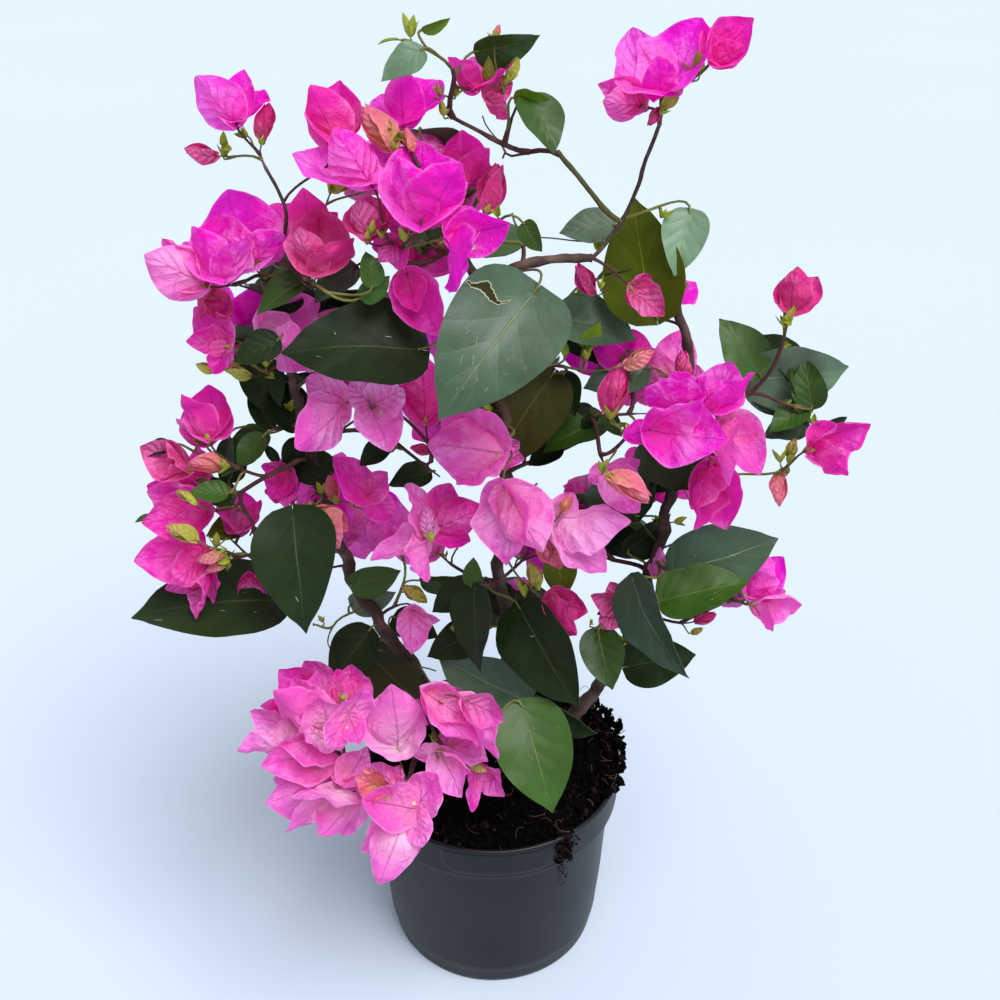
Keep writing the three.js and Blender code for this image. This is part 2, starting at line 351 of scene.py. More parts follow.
def bractFinish(name, colour, heart, edge, glowing):
    # papery: crinkled, with pale patches of painted highlight and painted shade in the vein creases, a paler
    # heart, a dark foot to the midrib, and light that comes through
    finish = Finish(name, Specular_IOR_Level=0.28)
    side, along, luck, otherLuck, puff, line = bladeParts(finish, bractShape)
    midrib = (1 - side * 24.0).limit()
    where = finish.node("TexCoord", out=3)
    net = finish.node("TexVoronoi", {"feature": "DISTANCE_TO_EDGE"}, Vector=where, Scale=260.0)
    mesh = (1 - net * 8.0).limit()
    mottle = finish.noise(where, 95.0, 4.0, 0.62)
    broad = finish.noise(where, 22.0, 2.0)
    crinkle = finish.noise(where, 260.0, 3.0, 0.6)
    partly = ((broad - 0.5) * 3.0 + mottle * 2.0 - 0.75).limit()
    line = line * partly
    tone = (mottle * 1.5 + broad * 0.9 + luck * 0.5 - 0.92).limit()
    flesh = finish.blend(tone, toned(colour, 0.70), colour)
    # pale patches towards the edge colour: painted highlight, where a glossy bract would catch the light
    paintedHighlight = ((broad * 1.9 + mottle * 1.1 + crinkle * 0.4 + luck * 0.1 - 1.68) * 1.9).limit() * 0.66
    highlighted = finish.blend(paintedHighlight, flesh, edge)
    towardsHeart = ((1.12 - along * 1.5).limit() * (1.1 - side * 0.8).limit()).limit()
    warmed = finish.blend((towardsHeart * (otherLuck * 0.7 + 0.45)).limit(), highlighted, heart)
    rim = ((side - 0.86) * 7.0).limit() * 0.35 + ((along - 0.9) * 4.0).limit() * 0.3
    edged = finish.blend(rim.limit(), warmed, edge)
    # darker along the side veins and the fine net: painted shade in the creases, over the veins' own darker
    # colour
    creaseShaded = finish.blend((line * 0.24 + mesh * 0.04).limit(), edged, toned(colour, 0.40))
    ribShade = finish.blend((along * 2.0).limit(), toned(heart, 0.18), toned(colour, 0.45))
    ribbed = finish.blend(midrib * (1.1 - along * 0.8).limit() * 0.75, creaseShaded, ribShade)
    finish.feed(Base_Color=ribbed)
    finish.feed(Roughness=mottle * 0.3 + 0.36)
    relief = puff * partly * 1.1 - midrib * 0.5 - mesh * 0.06 - line * 0.4 + mottle * 3.2 + crinkle * 1.1
    finish.feed(Normal=finish.bump(relief, 0.0013, 0.8))
    return lit(finish, colour, glowing)


def barkFinish(name, colour, light, scale=1.0):
    finish = Finish(name, Roughness=0.8, Specular_IOR_Level=0.3)
    where = finish.node("TexCoord", out=3)
    flat = finish.node("Mapping", Vector=where, Scale=(1.0, 1.0, 0.25))
    streaks = finish.noise(flat, 700.0 * scale, 4.0, 0.65)
    patches = finish.noise(where, 70.0 * scale, 3.0)
    tone = (streaks * 1.5 + patches * 0.8 - 0.65).limit()
    deep = tuple(c * 0.45 for c in colour[:3]) + (1.0,)
    base = finish.blend(tone, deep, colour)
    worn = finish.blend(((patches - 0.52) * 4.0).limit() * 0.6, base, light)
    finish.feed(Base_Color=worn)
    finish.feed(Roughness=streaks * 0.25 + 0.6)
    finish.feed(Normal=finish.bump(streaks, 0.0005, 0.7))
    return finish.material


def potFinish():
    finish = Finish("pot_plastic", Specular_IOR_Level=0.30)
    where = finish.node("TexCoord", out=3)
    tall = finish.node("Mapping", Vector=where, Scale=(1.0, 1.0, 0.35))
    haze = finish.noise(tall, 22.0, 5.0, 0.6)
    fine = finish.noise(where, 1400.0, 2.0)
    specks = finish.node("TexVoronoi", Vector=where, Scale=160.0)
    dusty = ((haze - 0.48) * 2.6).limit()
    base = finish.blend(dusty, linear(6, 8, 14), linear(12, 16, 25))
    speck = ((0.10 - specks) * 14.0).limit() * ((haze - 0.45) * 3.0).limit()
    dirt = finish.blend(speck * 0.6, base, linear(70, 67, 62))
    finish.feed(Base_Color=dirt)
    finish.feed(Roughness=haze * 0.25 + fine * 0.06 + 0.25)
    finish.feed(Normal=finish.bump(fine + haze * 2.0, 0.0002, 0.25))
    return finish.material


def soilFinish(name, dark, light):
    finish = Finish(name, Roughness=1.0, Specular_IOR_Level=0.05)
    where = finish.node("TexCoord", out=3)
    crumb = finish.noise(where, 260.0, 6.0, 0.7)
    patch = finish.noise(where, 45.0, 2.0)
    tone = ((crumb - 0.42) * 2.6 + (patch - 0.5) * 0.8).limit()
    finish.feed(Base_Color=finish.blend(tone, dark, light))
    finish.feed(Normal=finish.bump(crumb, 0.0015, 0.9))
    return finish.material


print("helpers ready")

# camera, light and floor
view = {
    "at": (0.0048, -0.555, 0.669),
    "pitch": 59.4,  # degrees from straight down
    "lens": 39.6,
    "floorSide": 60.0,
    "sky": linear(238, 243, 252),
    "skyStrength": 0.80,
    "sunTurn": (22.0, 20.0, 0.0),
    "sunStrength": 3.45,
    "sunSpread": 40.0,
}


def makeStudio():
    lens = bpy.data.cameras.new("view")
    lens.lens, lens.sensor_width, lens.clip_end = view["lens"], 36.0, 100.0
    camera = bpy.data.objects.new("view", lens)
    camera.location = view["at"]
    camera.rotation_euler = (math.radians(view["pitch"]), 0.0, 0.0)
    bpy.context.scene.collection.objects.link(camera)
    bpy.context.scene.camera = camera

    world = bpy.data.worlds.new("sky")
    world.use_nodes = True
    sky = world.node_tree.nodes["Background"]
    sky.inputs["Color"].default_value = view["sky"]
    sky.inputs["Strength"].default_value = view["skyStrength"]
    bpy.context.scene.world = world
    bpy.context.scene.view_settings.view_transform = "Standard"

    sun = bpy.data.lights.new("sun", "SUN")
    sun.energy, sun.angle = view["sunStrength"], math.radians(view["sunSpread"])
    lamp = bpy.data.objects.new("sun", sun)
    lamp.rotation_euler = [math.radians(a) for a in view["sunTurn"]]
    bpy.context.scene.collection.objects.link(lamp)

    finish = Finish("floor", Roughness=0.9, Specular_IOR_Level=0.1)
    where = finish.node("TexCoord", out=3)
    cloud = finish.noise(where, 0.8, 2.0)
    finish.feed(Base_Color=finish.blend(cloud, linear(183, 195, 208), linear(187, 198, 211)))
    half = view["floorSide"] / 2
    mesh = bpy.data.meshes.new("floor")
    corners = [(x * half, y * half, 0) for x, y in ((-1, -1), (1, -1), (1, 1), (-1, 1))]
    mesh.from_pydata(corners, [], [(0, 1, 2, 3)])
    mesh.materials.append(finish.material)
    floor = bpy.data.objects.new("floor", mesh)
    floor.location = (0.0, 0.0, -0.0002)
    bpy.context.scene.collection.objects.link(floor)
    print("studio ready")


makeStudio()

# the nursery pot, metres
pot = {
    "band": 0.027,  # depth of the wider band under the lip
    "lip": 0.0032,
    "lipStand": 0.0012,  # how far the lip stands past the band
    "step": 0.0045,  # how far the band stands out
    "shoulder": 0.003,  # half the height of the soft step under the band
    "foot": 0.014,
    "footIn": 0.0022,
    "taper": 0.0055,  # how much narrower the body is at its foot than under the band
    "wall": 0.0024,
    "rows": 26,  # up the body
    "bandRows": 22,
    "shoulderRows": 8,
    "turns": 260,  # columns round the pot, outside the panel
    "panelTurns": 200,
    "uneven": 0.00018,
    "tabFrom": -112.0,  # the raised panel on the band, degrees round from +X
    "tabTo": -62.0,
    "tabDrop": 0.0215,
    "tabCorner": 0.0105,
    "tabRise": 0.00045,
    "tabEdge": 0.0004,
    "groove": 0.0003,  # depth of the line round the panel
    "grooveWide": 0.0005,
}


def makePot():
    middle, half = boxOf("pot")
    height, radius = 2 * half[2], half[0]
    bandFoot = height - pot["band"]
    body = radius - pot["step"] - pot["lipStand"]
    lip, shoulder = pot["lip"], pot["shoulder"]
    outline = [(0.0, 0.0), (0.05, 0.0), (radius - 0.0155, 0.0), (radius - 0.0145, 0.0004)]
    foot = body - pot["taper"]
    outline += [(foot - pot["footIn"] + 0.0004 * k, 0.001 + 0.0028 * k) for k in range(4)]
    outline += [(foot - 0.0006, pot["foot"] - 0.0008), (foot + 0.0001, pot["foot"])]
    rows = pot["rows"]
    outline += [
        (foot + (body - foot) * k / rows, pot["foot"] + (bandFoot - shoulder - pot["foot"]) * k / rows)
        for k in range(1, rows + 1)
    ]
    band = radius - pot["lipStand"]
    soft = pot["shoulderRows"]
    for k in range(1, soft + 1):
        ease = 0.5 - 0.5 * math.cos(math.pi * k / soft)
        outline.append((body + (band - body) * ease, bandFoot - shoulder + 2 * shoulder * k / soft))
    bandRows = pot["bandRows"]
    top = height - lip
    outline += [
        (band + 0.0002 * k / bandRows, bandFoot + shoulder + (top - bandFoot - shoulder) * k / bandRows)
        for k in range(1, bandRows + 1)
    ]
    # a rolled lip with a fine groove under it
    outline.append((band - 0.0003, top + 0.0003))
    bead = lip / 2
    outline += [(radius - bead + bead * math.cos(a), height - bead + bead * math.sin(a))
                for a in [math.radians(d) for d in (-60, -30, 0, 30, 60, 90, 120, 150, 180)]]
    inner = radius - lip - pot["wall"]
    outline += [(inner + 0.0008, height - lip), (inner, height - 0.006), (inner - 0.004, height - 0.02)]
    outline += [(inner - 0.006, height - 0.032)]
    outline = np.array(outline)
    # columns are closer together where the panel's edge has to be crisp
    wide = np.linspace(pot["tabTo"] + 4, pot["tabFrom"] + 360 - 4, pot["turns"], endpoint=False)
    close = np.linspace(pot["tabFrom"] - 4, pot["tabTo"] + 4, pot["panelTurns"], endpoint=False)
    turn = np.radians(np.concatenate([wide, close + 360]))
    r = outline[:, 0][:, None] * np.ones_like(turn)
    z = outline[:, 1][:, None] * np.ones_like(turn)
    # the panel: a rounded outline that stands out by less than a millimetre
    degrees = np.degrees(turn)[None, :] % 360 - 360
    low, high = pot["tabFrom"], pot["tabTo"]
    mid, reach = math.radians((low + high) / 2), math.radians((high - low) / 2) * radius
    x = (np.radians(degrees) - mid) * radius
    y = z - height
    corner = pot["tabCorner"]
    dx = np.abs(x) - (reach - corner)
    dy = -y - (pot["tabDrop"] - corner)
    away = np.hypot(np.maximum(dx, 0), np.maximum(dy, 0)) + np.minimum(np.maximum(dx, dy), 0) - corner
    onBand = ((z > bandFoot - 0.001) & (z < top) & (r > inner)).astype(float)
    raised = pot["tabRise"] / (1 + np.exp(np.clip(away / pot["tabEdge"], -40, 40)))
    groove = -pot["groove"] * np.exp(-((away / pot["grooveWide"]) ** 2))
    r = r + onBand * (raised + groove)
    rough = ripple(np.stack([np.cos(turn)[None, :] * r, np.sin(turn)[None, :] * r, z], -1), 0.06, 4)
    r = r + np.where(r > 0.04, rough * pot["uneven"], 0)
    points = np.stack([r * np.cos(turn), r * np.sin(turn), np.maximum(z, 0)], axis=-1)
    heap = Heap("nursery_pot")
    heap.grid(points, wrap=True)
    heap.build([potFinish()], "pot_plastic", ["pot"])
    return height, radius


potHeight, potRadius = makePot()

# the soil in it, and what has spilt over the rim
soil = {
    "edge": 0.0795,  # out to the inside of the lip
    "level": 0.137,
    "mound": 0.008,
    "heap": (0.060, 0.012, 0.013, 0.030),  # a heap at the right: x, y, height and spread
    "swells": 0.0035,  # heights of its unevenness, from coarse to fine
    "lumps": 0.0018,
    "grains": 0.0009,
    "rings": 70,
    "sectors": 220,
    "crumbs": 2300,
    "spilt": 230,
    "clods": 360,
    "lightShare": {"crumbs": 0.16, "spilt": 0.5, "clods": 0.12},
    "fibres": 150,
    "fibreSteps": 9,
    "spillTurn": -58.0,
}


def soilHeight(x, y):
    out = np.hypot(x, y) / soil["edge"]
    places = np.stack([x, y, 0 * x], axis=-1)
    hx, hy, hh, hs = soil["heap"]
    height = soil["level"] + soil["mound"] * (1 - np.clip(out, 0, 1) ** 2.5)
    height = height + soil["swells"] * ripple(places, 0.035, 5) * (1.15 - out)
    height = height + soil["lumps"] * ripple(places, 0.012, 6) + soil["grains"] * ripple(places, 0.005, 7)
    return height + hh * np.exp(-((x - hx) ** 2 + (y - hy) ** 2) / hs**2)


def crumb(rng, size):
    # an uneven closed grain: a squashed ball of 5 by 6 points
    tall = np.linspace(-1, 1, 5)
    wide = np.sqrt(np.maximum(0.02, 1 - tall**2))
    turn = np.arange(6) * math.pi / 3
    shape = np.stack(
        [wide[:, None] * np.cos(turn), wide[:, None] * np.sin(turn), tall[:, None] * np.ones(6)], -1
    )
    shape *= rng.uniform(0.65, 1.3, size=(5, 6, 1))
    shape *= size * rng.uniform([0.6, 0.6, 0.35], [1.3, 1.0, 0.8])
    turned, _ = np.linalg.qr(rng.normal(size=(3, 3)))
    if np.linalg.det(turned) < 0:
        turned[:, 0] *= -1
    return shape @ turned.T


def addCrumb(heap, rng, turn, out, z, size, kind):
    # a grain at a place round the pot's axis, dark or light by chance
    at = np.array([out * math.cos(turn), out * math.sin(turn), z])
    light = soil["lightShare"][kind]
    heap.grid(crumb(rng, size) + at, wrap=True, slot=int(rng.uniform() < light), newCell=False)


def makeSoil():
    rng = seeded(11)
    rings, sectors = soil["rings"], soil["sectors"]
    out = np.linspace(0.02, 1, rings)[:, None] * soil["edge"]
    turn = np.arange(sectors) * 2 * math.pi / sectors
    x, y = out * np.cos(turn), out * np.sin(turn)
    surface = np.stack([x, y, soilHeight(x, y)], axis=-1)
    skirt = surface[-1:] * [1.0, 1.0, 0] + [0, 0, soil["level"] - 0.02]
    heap = Heap("potting_soil")
    heap.grid(np.concatenate([surface, skirt]), wrap=True)
    heap.build([soilFinish("soil_dark", linear(2, 2, 2), linear(14, 11, 10))], "potting_soil", ["soil"])

    crumbs = Heap("soil_crumbs")
    for _ in range(soil["crumbs"]):
        out = soil["edge"] * math.sqrt(rng.uniform()) * 1.01
        turn = rng.uniform(0, 2 * math.pi)
        x, y = out * math.cos(turn), out * math.sin(turn)
        size = 0.0009 + 0.0026 * rng.uniform() ** 2.5
        z = float(soilHeight(np.array(x), np.array(y))) + size * 0.2
        addCrumb(crumbs, rng, turn, out, z, size, "crumbs")
    # soil that spills over the rim, in a dribble down the band and a few grains lower down
    for _ in range(soil["spilt"]):
        drop = rng.uniform() ** 1.4 * 0.052
        spread = 0.0042 * (1 - drop / 0.07)
        turn = math.radians(soil["spillTurn"]) + (rng.normal() * spread + 0.08 * drop) / potRadius
        z = potHeight - drop + 0.001
        radius = potRadius + (0.0002 if drop < pot["band"] - 0.002 else -pot["step"] - 0.0004)
        if drop < 0.003:
            radius -= rng.uniform(0, 0.006)
            z = potHeight + 0.0006
        size = 0.0011 * rng.uniform(0.5, 1.5) * (1.0 if drop < 0.024 else 0.5)
        if drop > 0.026 and rng.uniform() < 0.6:
            continue
        addCrumb(crumbs, rng, turn, radius, z, size, "spilt")
    # clods heaped on and over the rim at the right
    for _ in range(soil["clods"]):
        turn = math.radians(rng.normal(8, 20))
        out = rng.uniform(0.074, 0.0885)
        z = potHeight + rng.uniform() ** 2 * 0.016 * math.exp(-((math.degrees(turn) - 8) / 22) ** 2) + 0.0005
        size = 0.0012 + 0.0022 * rng.uniform()
        addCrumb(crumbs, rng, turn, out, z, size, "clods")
    grain = soilFinish("soil_grain", linear(3, 2, 2), linear(18, 14, 13))
    chip = soilFinish("soil_chip", linear(22, 13, 11), linear(48, 33, 27))
    crumbs.build([grain, chip], "potting_soil")

    fibres = Heap("soil_fibres")
    for _ in range(soil["fibres"]):
        onRim = rng.uniform() < 0.3
        turn = math.radians(rng.normal(5, 30)) if onRim else rng.uniform(0, 2 * math.pi)
        out = rng.uniform(0.070, 0.086) if onRim else soil["edge"] * math.sqrt(rng.uniform()) * 0.97
        x, y = out * math.cos(turn), out * math.sin(turn)
        z = float(soilHeight(np.array(x), np.array(y)))
        if onRim:
            z = max(z, potHeight) + rng.uniform(0, 0.006)
        way, bend = rng.uniform(0, 2 * math.pi), rng.normal(0, 190)
        path = [np.array([x, y, z + 0.0012])]
        long = rng.uniform(0.004, 0.016)
        steps = soil["fibreSteps"]
        for _ in range(steps):
            way += bend * long / steps
            stride = [math.cos(way) * long / steps, math.sin(way) * long / steps, rng.normal() * 0.0005]
            path.append(path[-1] + stride)
        path = np.array(path)
        inside = np.hypot(path[:, 0], path[:, 1]) < 0.079
        ground = soilHeight(path[:, 0], path[:, 1]) + 0.0006
        path[:, 2] = np.where(inside, np.maximum(path[:, 2], ground), path[:, 2])
        fibres.grid(tube(path, rng.uniform(0.00012, 0.0003), 5), wrap=True, newCell=False)
    fibres.build([barkFinish("dry_fibre", linear(78, 52, 40), linear(126, 96, 72))], "potting_soil")
    print("soil ready")


makeSoil()

# stems, boughs and shoots
limbs = {
    "stems": ["stem_left", "stem_centre", "stem_right", "stem_front"],
    "boughs": ["bough_arc", "bough_right", "bough_centre_right", "bough_centre_left",
               "twig_top_left", "twig_top_right"],
    "shoots": ["shoot_top"],
    "slim": 0.62,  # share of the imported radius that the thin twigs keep
    "sides": 14,
    "ring": 0.0022,  # distance between rings
    "knots": 0.030,  # distance between the knots where leaves once stood
    "near": 0.003,  # a bough that ends further than this from the stems is led on to them
    "sway": 0.0011,
    "slimSway": 0.0004,
    "swayFade": 0.02,  # the sway dies out over this length at both ends
}


def slices(node, count=26):
    # the middle and the radius of a packed limb where level planes cut it
    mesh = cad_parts[node].data
    points = np.array([v.co for v in mesh.vertices])
    edges = np.array([e.vertices[:] for e in mesh.edges])
    low, high = points.min(axis=0), points.max(axis=0)
    axis = int(np.argmax(high - low))
    inset = 0.05 * (high - low)[axis]
    middles, radii = [], []
    for level in np.linspace(low[axis] + inset, high[axis] - inset, count):
        a, b = points[edges[:, 0]], points[edges[:, 1]]
        crossing = (a[:, axis] - level) * (b[:, axis] - level) < 0
        a, b = a[crossing], b[crossing]
        part = ((level - a[:, axis]) / (b[:, axis] - a[:, axis]))[:, None]
        cut = a + (b - a) * part
        middle = (cut.min(axis=0) + cut.max(axis=0)) / 2
        middles.append(middle)
        radii.append(np.linalg.norm(cut - middle, axis=1).mean())
    middles = np.array(middles)
    ends = [middles[0] - (middles[1] - middles[0]) * 1.3, middles[-1] + (middles[-1] - middles[-2]) * 1.3]
    path = np.vstack([ends[:1], middles, ends[1:]])
    return path, np.concatenate([radii[:1], radii, radii[-1:]])


def barkBumps(seed, depth):
    # long ridges, small lumps, and a swelling at each knot
    def bumps(rings, radii):
        run = np.linspace(0, 1, len(rings)) * lengths(rings.mean(axis=1))[-1]
        stretched = rings * [1.0, 1.0, 0.22]
        ridges = ripple(stretched, 0.0032, seed) * 0.06 + ripple(rings, 0.009, seed + 1) * 0.07
        knots = np.exp(-(((run + 0.011 * seed) % limbs["knots"] - 0.012) / 0.0028) ** 2)[:, None]
        return radii[:, None] * (ridges * depth + knots * (0.20 + 0.12 * ripple(rings, 0.004, seed + 2)))

    return bumps


def makeLimbs():
    bark = barkFinish("bark", linear(74, 54, 44), linear(132, 112, 98))
    shoot = barkFinish("green_bark", linear(96, 92, 44), linear(150, 146, 84))
    routes = {}
    for seed, node in enumerate(limbs["stems"] + limbs["boughs"] + limbs["shoots"]):
        path, radii = slices(node)
        run = lengths(path)
        fine = smoothed(resample(path, limbs["ring"]), 6)
        sized = np.interp(lengths(fine), run, radii)
        if routes:  # a bough's foot is the end nearer to the stems
            stemPoints = np.vstack([route for route, _ in routes.values()])
            away = [np.linalg.norm(stemPoints - end, axis=1).min() for end in (fine[0], fine[-1])]
            if node not in limbs["stems"] and away[1] < away[0]:
                fine, sized = fine[::-1], sized[::-1]
            foot, start = fine[0], unit(fine[0] - fine[4])
            gaps = np.linalg.norm(stemPoints - foot, axis=1)
            if node not in limbs["stems"] and gaps.min() > limbs["near"]:
                heads = (stemPoints - foot) @ start / gaps
                climb = np.maximum(0, stemPoints[:, 2] - foot[2])
                best = int(np.argmin(gaps * (1.4 - 0.4 * heads) + 0.5 * climb))
                end = stemPoints[best]
                t = np.linspace(0, 1, 12)[:-1, None]
                bend = foot + start * gaps[best] * 0.5
                link = (1 - t) ** 2 * end + 2 * t * (1 - t) * bend + t**2 * foot
                print(node, "runs on by", round(gaps[best] * 1000), "mm")
                fine = smoothed(resample(np.vstack([link, fine]), limbs["ring"]), 4)
                sized = np.interp(np.linspace(0, 1, len(fine)), np.linspace(0, 1, len(sized)), sized)
        wander = seeded(seed, 3).uniform(0, 6.3, 4)
        along = lengths(fine)[:, None]
        fade = np.minimum(1, np.minimum(along, along[-1] - along) / limbs["swayFade"])
        sway = np.hstack([np.sin(along * 150 + wander[0]) + 0.6 * np.sin(along * 290 + wander[1]),
                          np.sin(along * 130 + wander[2]) + 0.6 * np.sin(along * 310 + wander[3])])
        slim = node in limbs["shoots"] or node.startswith("twig")
        fine[:, :2] += limbs["slimSway" if slim else "sway"] * sway * fade
        sized = sized * (limbs["slim"] if slim else 1.0)
        green = node in limbs["shoots"]
        heap = Heap(node + "_bark")
        rings = tube(fine, sized, limbs["sides"], barkBumps(seed + 1, 0.4 if green else 1.0))
        heap.grid(rings, wrap=True)
        heap.build([shoot if green else bark], "green_shoot" if green else "bark", [node])
        routes[node] = (fine, sized)
    print("limbs ready")
    return routes


routes = makeLimbs()

# Leaves and bracts: widths, lobes and waves are shares of the blade's length.
leafShape = {
    "rows": 20, "columns": 10, "width": 0.76, "base": 0.42, "tip": 0.96, "lobe": 0.09, "fold": 0.22,
    "cup": 0.04, "wave": 0.014, "quilt": 0.004, "crumple": 0.020, "veins": 5, "slant": 0.5, "drip": 0.18,
}
youngShape = {
    "rows": 8, "columns": 6, "width": 0.5, "base": 0.6, "tip": 0.95, "lobe": 0.0, "fold": 0.3,
    "cup": 0.1, "wave": 0.01, "quilt": 0.0, "crumple": 0.01, "veins": 4, "slant": 0.4, "drip": 0.1,
}
bractShape = {
    "rows": 26, "columns": 12, "width": 1.0, "base": 0.40, "tip": 0.72, "lobe": 0.15, "fold": 0.14,
    "cup": 0.32, "wave": 0.046, "quilt": 0.0024, "crumple": 0.080, "veins": 5, "slant": 0.6, "drip": 0.13,
}
budShape = dict(bractShape, rows=14, columns=8, width=0.82, wave=0.012, crumple=0.03)


def bladeSheet(shape, length, rng, bend=(0.0, 0.0), twist=0.0, fold=1.0, cup=1.0, curl=0.0):
    # a pointed oval sheet: foot at the origin, tip along +Y, upper side +Z
    even = np.linspace(0, 1, shape["rows"] + 1)
    t = (0.4 * even + 0.6 * (0.5 - 0.5 * np.cos(math.pi * even)))[:, None]
    s = np.linspace(-1, 1, shape["columns"] + 1)[None, :]
    s = np.sign(s) * np.abs(s) ** 0.9
    a, b = shape["base"], shape["tip"]
    peak = a / (a + b)
    outline = (t / peak) ** a * ((1 - t) / (1 - peak)) ** b
    outline = outline * (1 - shape["drip"] * np.exp(-(((t - 0.94) / 0.05) ** 2)))
    phase = rng.uniform(0, 6.3, 7)
    uneven = np.where(s < 0, np.sin(t * 8 + phase[4]), np.sin(t * 7 + phase[5]))
    outline = outline * (1 + 0.03 * uneven)
    half = np.maximum(outline * shape["width"] * length / 2, length * 0.003)
    side = np.abs(s)
    waves = np.where(s < 0, np.sin(t * 11 + phase[0]), np.sin(t * 10 + phase[1]))
    waves = waves + 0.5 * np.where(s < 0, np.sin(t * 21 + phase[2]), np.sin(t * 19 + phase[3]))
    run = t - shape["slant"] * side + 0.35 * shape["slant"] * side**2
    puff = np.abs(np.sin(math.pi * shape["veins"] * run)) ** 0.8 * side * (1.2 - side) * 2.6
    lift = shape["fold"] * fold * half * (np.sqrt(side**2 + 0.01) - 0.1)
    lift = lift + shape["cup"] * cup * half * side**2 - curl * half * np.clip(side - 0.6, 0, 1) ** 2 * 3
    lift = lift + shape["wave"] * length * waves * side**2.2 * np.sin(math.pi * t**0.8)
    lift = lift - shape["quilt"] * length * puff * np.sin(math.pi * t) ** 0.5
    slope = shape["fold"] * fold + 1.4 * shape["cup"] * cup * side
    x = np.sign(s) * side * half / np.sqrt(1 + slope**2)
    flat = np.stack([x, t * length + 0 * s, phase[6] * length + 0 * x], axis=-1)
    lift = lift + shape["crumple"] * length * ripple(flat, length * 0.55, int(phase[6] * 1000)) * 0.5
    lift = lift + shape["crumple"] * length * ripple(flat, length * 0.24, int(phase[5] * 1000)) * 0.2
    back = -shape["lobe"] * length * side**2 * np.exp(-t * 8)
    # the midrib bends from its foot to its tip
    angle = np.radians(bend[0] + (bend[1] - bend[0]) * t)
    stride = np.diff(t, axis=0) * length
    middle = (angle[1:] + angle[:-1]) / 2
    y = np.vstack([[[0]], np.cumsum(np.cos(middle) * stride, axis=0)])
    z = np.vstack([[[0]], np.cumsum(np.sin(middle) * stride, axis=0)])
    turn = np.radians(twist) * t
    x, lift = x * np.cos(turn) - lift * np.sin(turn), x * np.sin(turn) + lift * np.cos(turn)
    points = np.stack([
        x,
        y + back * np.cos(angle) - lift * np.sin(angle),
        z + back * np.sin(angle) + lift * np.cos(angle),
    ], axis=-1)
    grain = np.stack([s * np.ones_like(t), t * np.ones_like(s)], axis=-1)
    return points, grain


# The biggest front leaf is torn from one margin inwards: shares across it, then along it on the
# cut's two sides.
tear = {
    "across": (1.0, 0.86, 0.75, 0.60, 0.46, 0.34, 0.24),
    "nearFoot": (0.272, 0.246, 0.175, 0.182, 0.206, 0.206, 0.140),
    "nearTip": (0.286, 0.272, 0.250, 0.246, 0.248, 0.232, 0.152),
    "points": 25,
    "ragged": 0.004,
    "edge": 0.00042,  # radius of its pale edges, metres
    "rise": 0.00016,  # how far its dark band lies above the leaf
    "scarRise": 0.0001,
}
leafThick = 0.00028


def onSheet(points, grain, across, along):
    # a place on a blade, by its share across (-1 to 1) and along it
    i = np.interp(along, grain[:, 0, 1], np.arange(grain.shape[0]))
    j = np.interp(across, grain[0, :, 0], np.arange(grain.shape[1]))
    a, b = min(int(i), points.shape[0] - 2), min(int(j), points.shape[1] - 2)
    i, j = i - a, j - b
    low = points[a, b] * (1 - j) + points[a, b + 1] * j
    high = points[a + 1, b] * (1 - j) + points[a + 1, b + 1] * j
    return low * (1 - i) + high * i


def addScar(sheet, grain, up, line, radius):
    # a pale healed line on a blade
    line = np.clip(line, [-0.98, 0.01], [0.98, 0.99])
    path = np.array([onSheet(sheet, grain, *place) for place in line]) + up * tear["scarRise"]
    scarHeap.grid(tube(path, radius * np.sin(np.linspace(0.5, 2.7, len(line))), 5), wrap=True, newCell=False)


def addTear(sheet, grain, up, rng):
    # the gap as a dark band in the shade tint laid on the leaf, painted shade, and its two pale torn edges
    even = np.linspace(0, 1, tear["points"])
    steps = np.linspace(0, 1, len(tear["across"]))
    across = np.interp(even, steps, tear["across"])
    edges = []
    for side in ("nearFoot", "nearTip"):
        ragged = rng.normal(size=tear["points"]) * tear["ragged"]
        line = np.stack([across, np.interp(even, steps, tear[side]) + ragged], axis=1)
        edges.append(np.array([onSheet(sheet, grain, *place) for place in np.clip(line, 0.01, 0.99)]))
        addScar(sheet, grain, up, line, tear["edge"])
    # the dark band stands for the shadowed gap of the tear: painted shade
    band = np.stack(edges, axis=1) + up * tear["rise"]
    leafHeaps["shade"].grid(band, chance=(0.0, 0.5))


def addLeaf(heap, at, frame3, shape, length, rng, bend, twist, fold=1.0, torn=False):
    # a closed blade: upper side, underside and a thin margin
    points, grain = bladeSheet(shape, length, rng, bend, twist, fold)
    chance = rng.uniform(0, 1, 2)
    upper = points @ frame3.T + at
    under = upper - frame3[:, 2] * leafThick
    heap.grid(upper, grain, chance, slot=0)
    heap.grid(under, grain, chance, slot=1, flip=True)

    def rimOf(sheet):
        return np.concatenate([sheet[0, :-1], sheet[:-1, -1], sheet[-1, :0:-1], sheet[:0:-1, 0]])

    rim = np.stack([rimOf(under), rimOf(upper)])
    heap.grid(rim, np.full((2, rim.shape[1] + 1, 2), (0.95, 0.5)), chance, slot=1, wrap=True, newCell=False)
    up = frame3[:, 2]
    if torn:
        addTear(upper, grain, up, rng)
    # fine pale scratches on the big blades
    marks = 12 if torn else int(rng.integers(0, 4)) if length > 0.045 else 0
    for _ in range(marks):
        start = np.array([rng.uniform(-0.6, 0.5), rng.uniform(0.45, 0.8) if torn else rng.uniform(0.2, 0.8)])
        turn = rng.uniform(0, 2 * math.pi)
        run = rng.uniform(0.03, 0.12) * np.array([math.cos(turn), math.sin(turn) * 0.6])
        line = start + np.linspace(0, 1, 6)[:, None] * run + rng.normal(size=(6, 2)) * 0.005
        addScar(upper, grain, up, line, rng.uniform(0.00011, 0.0002))


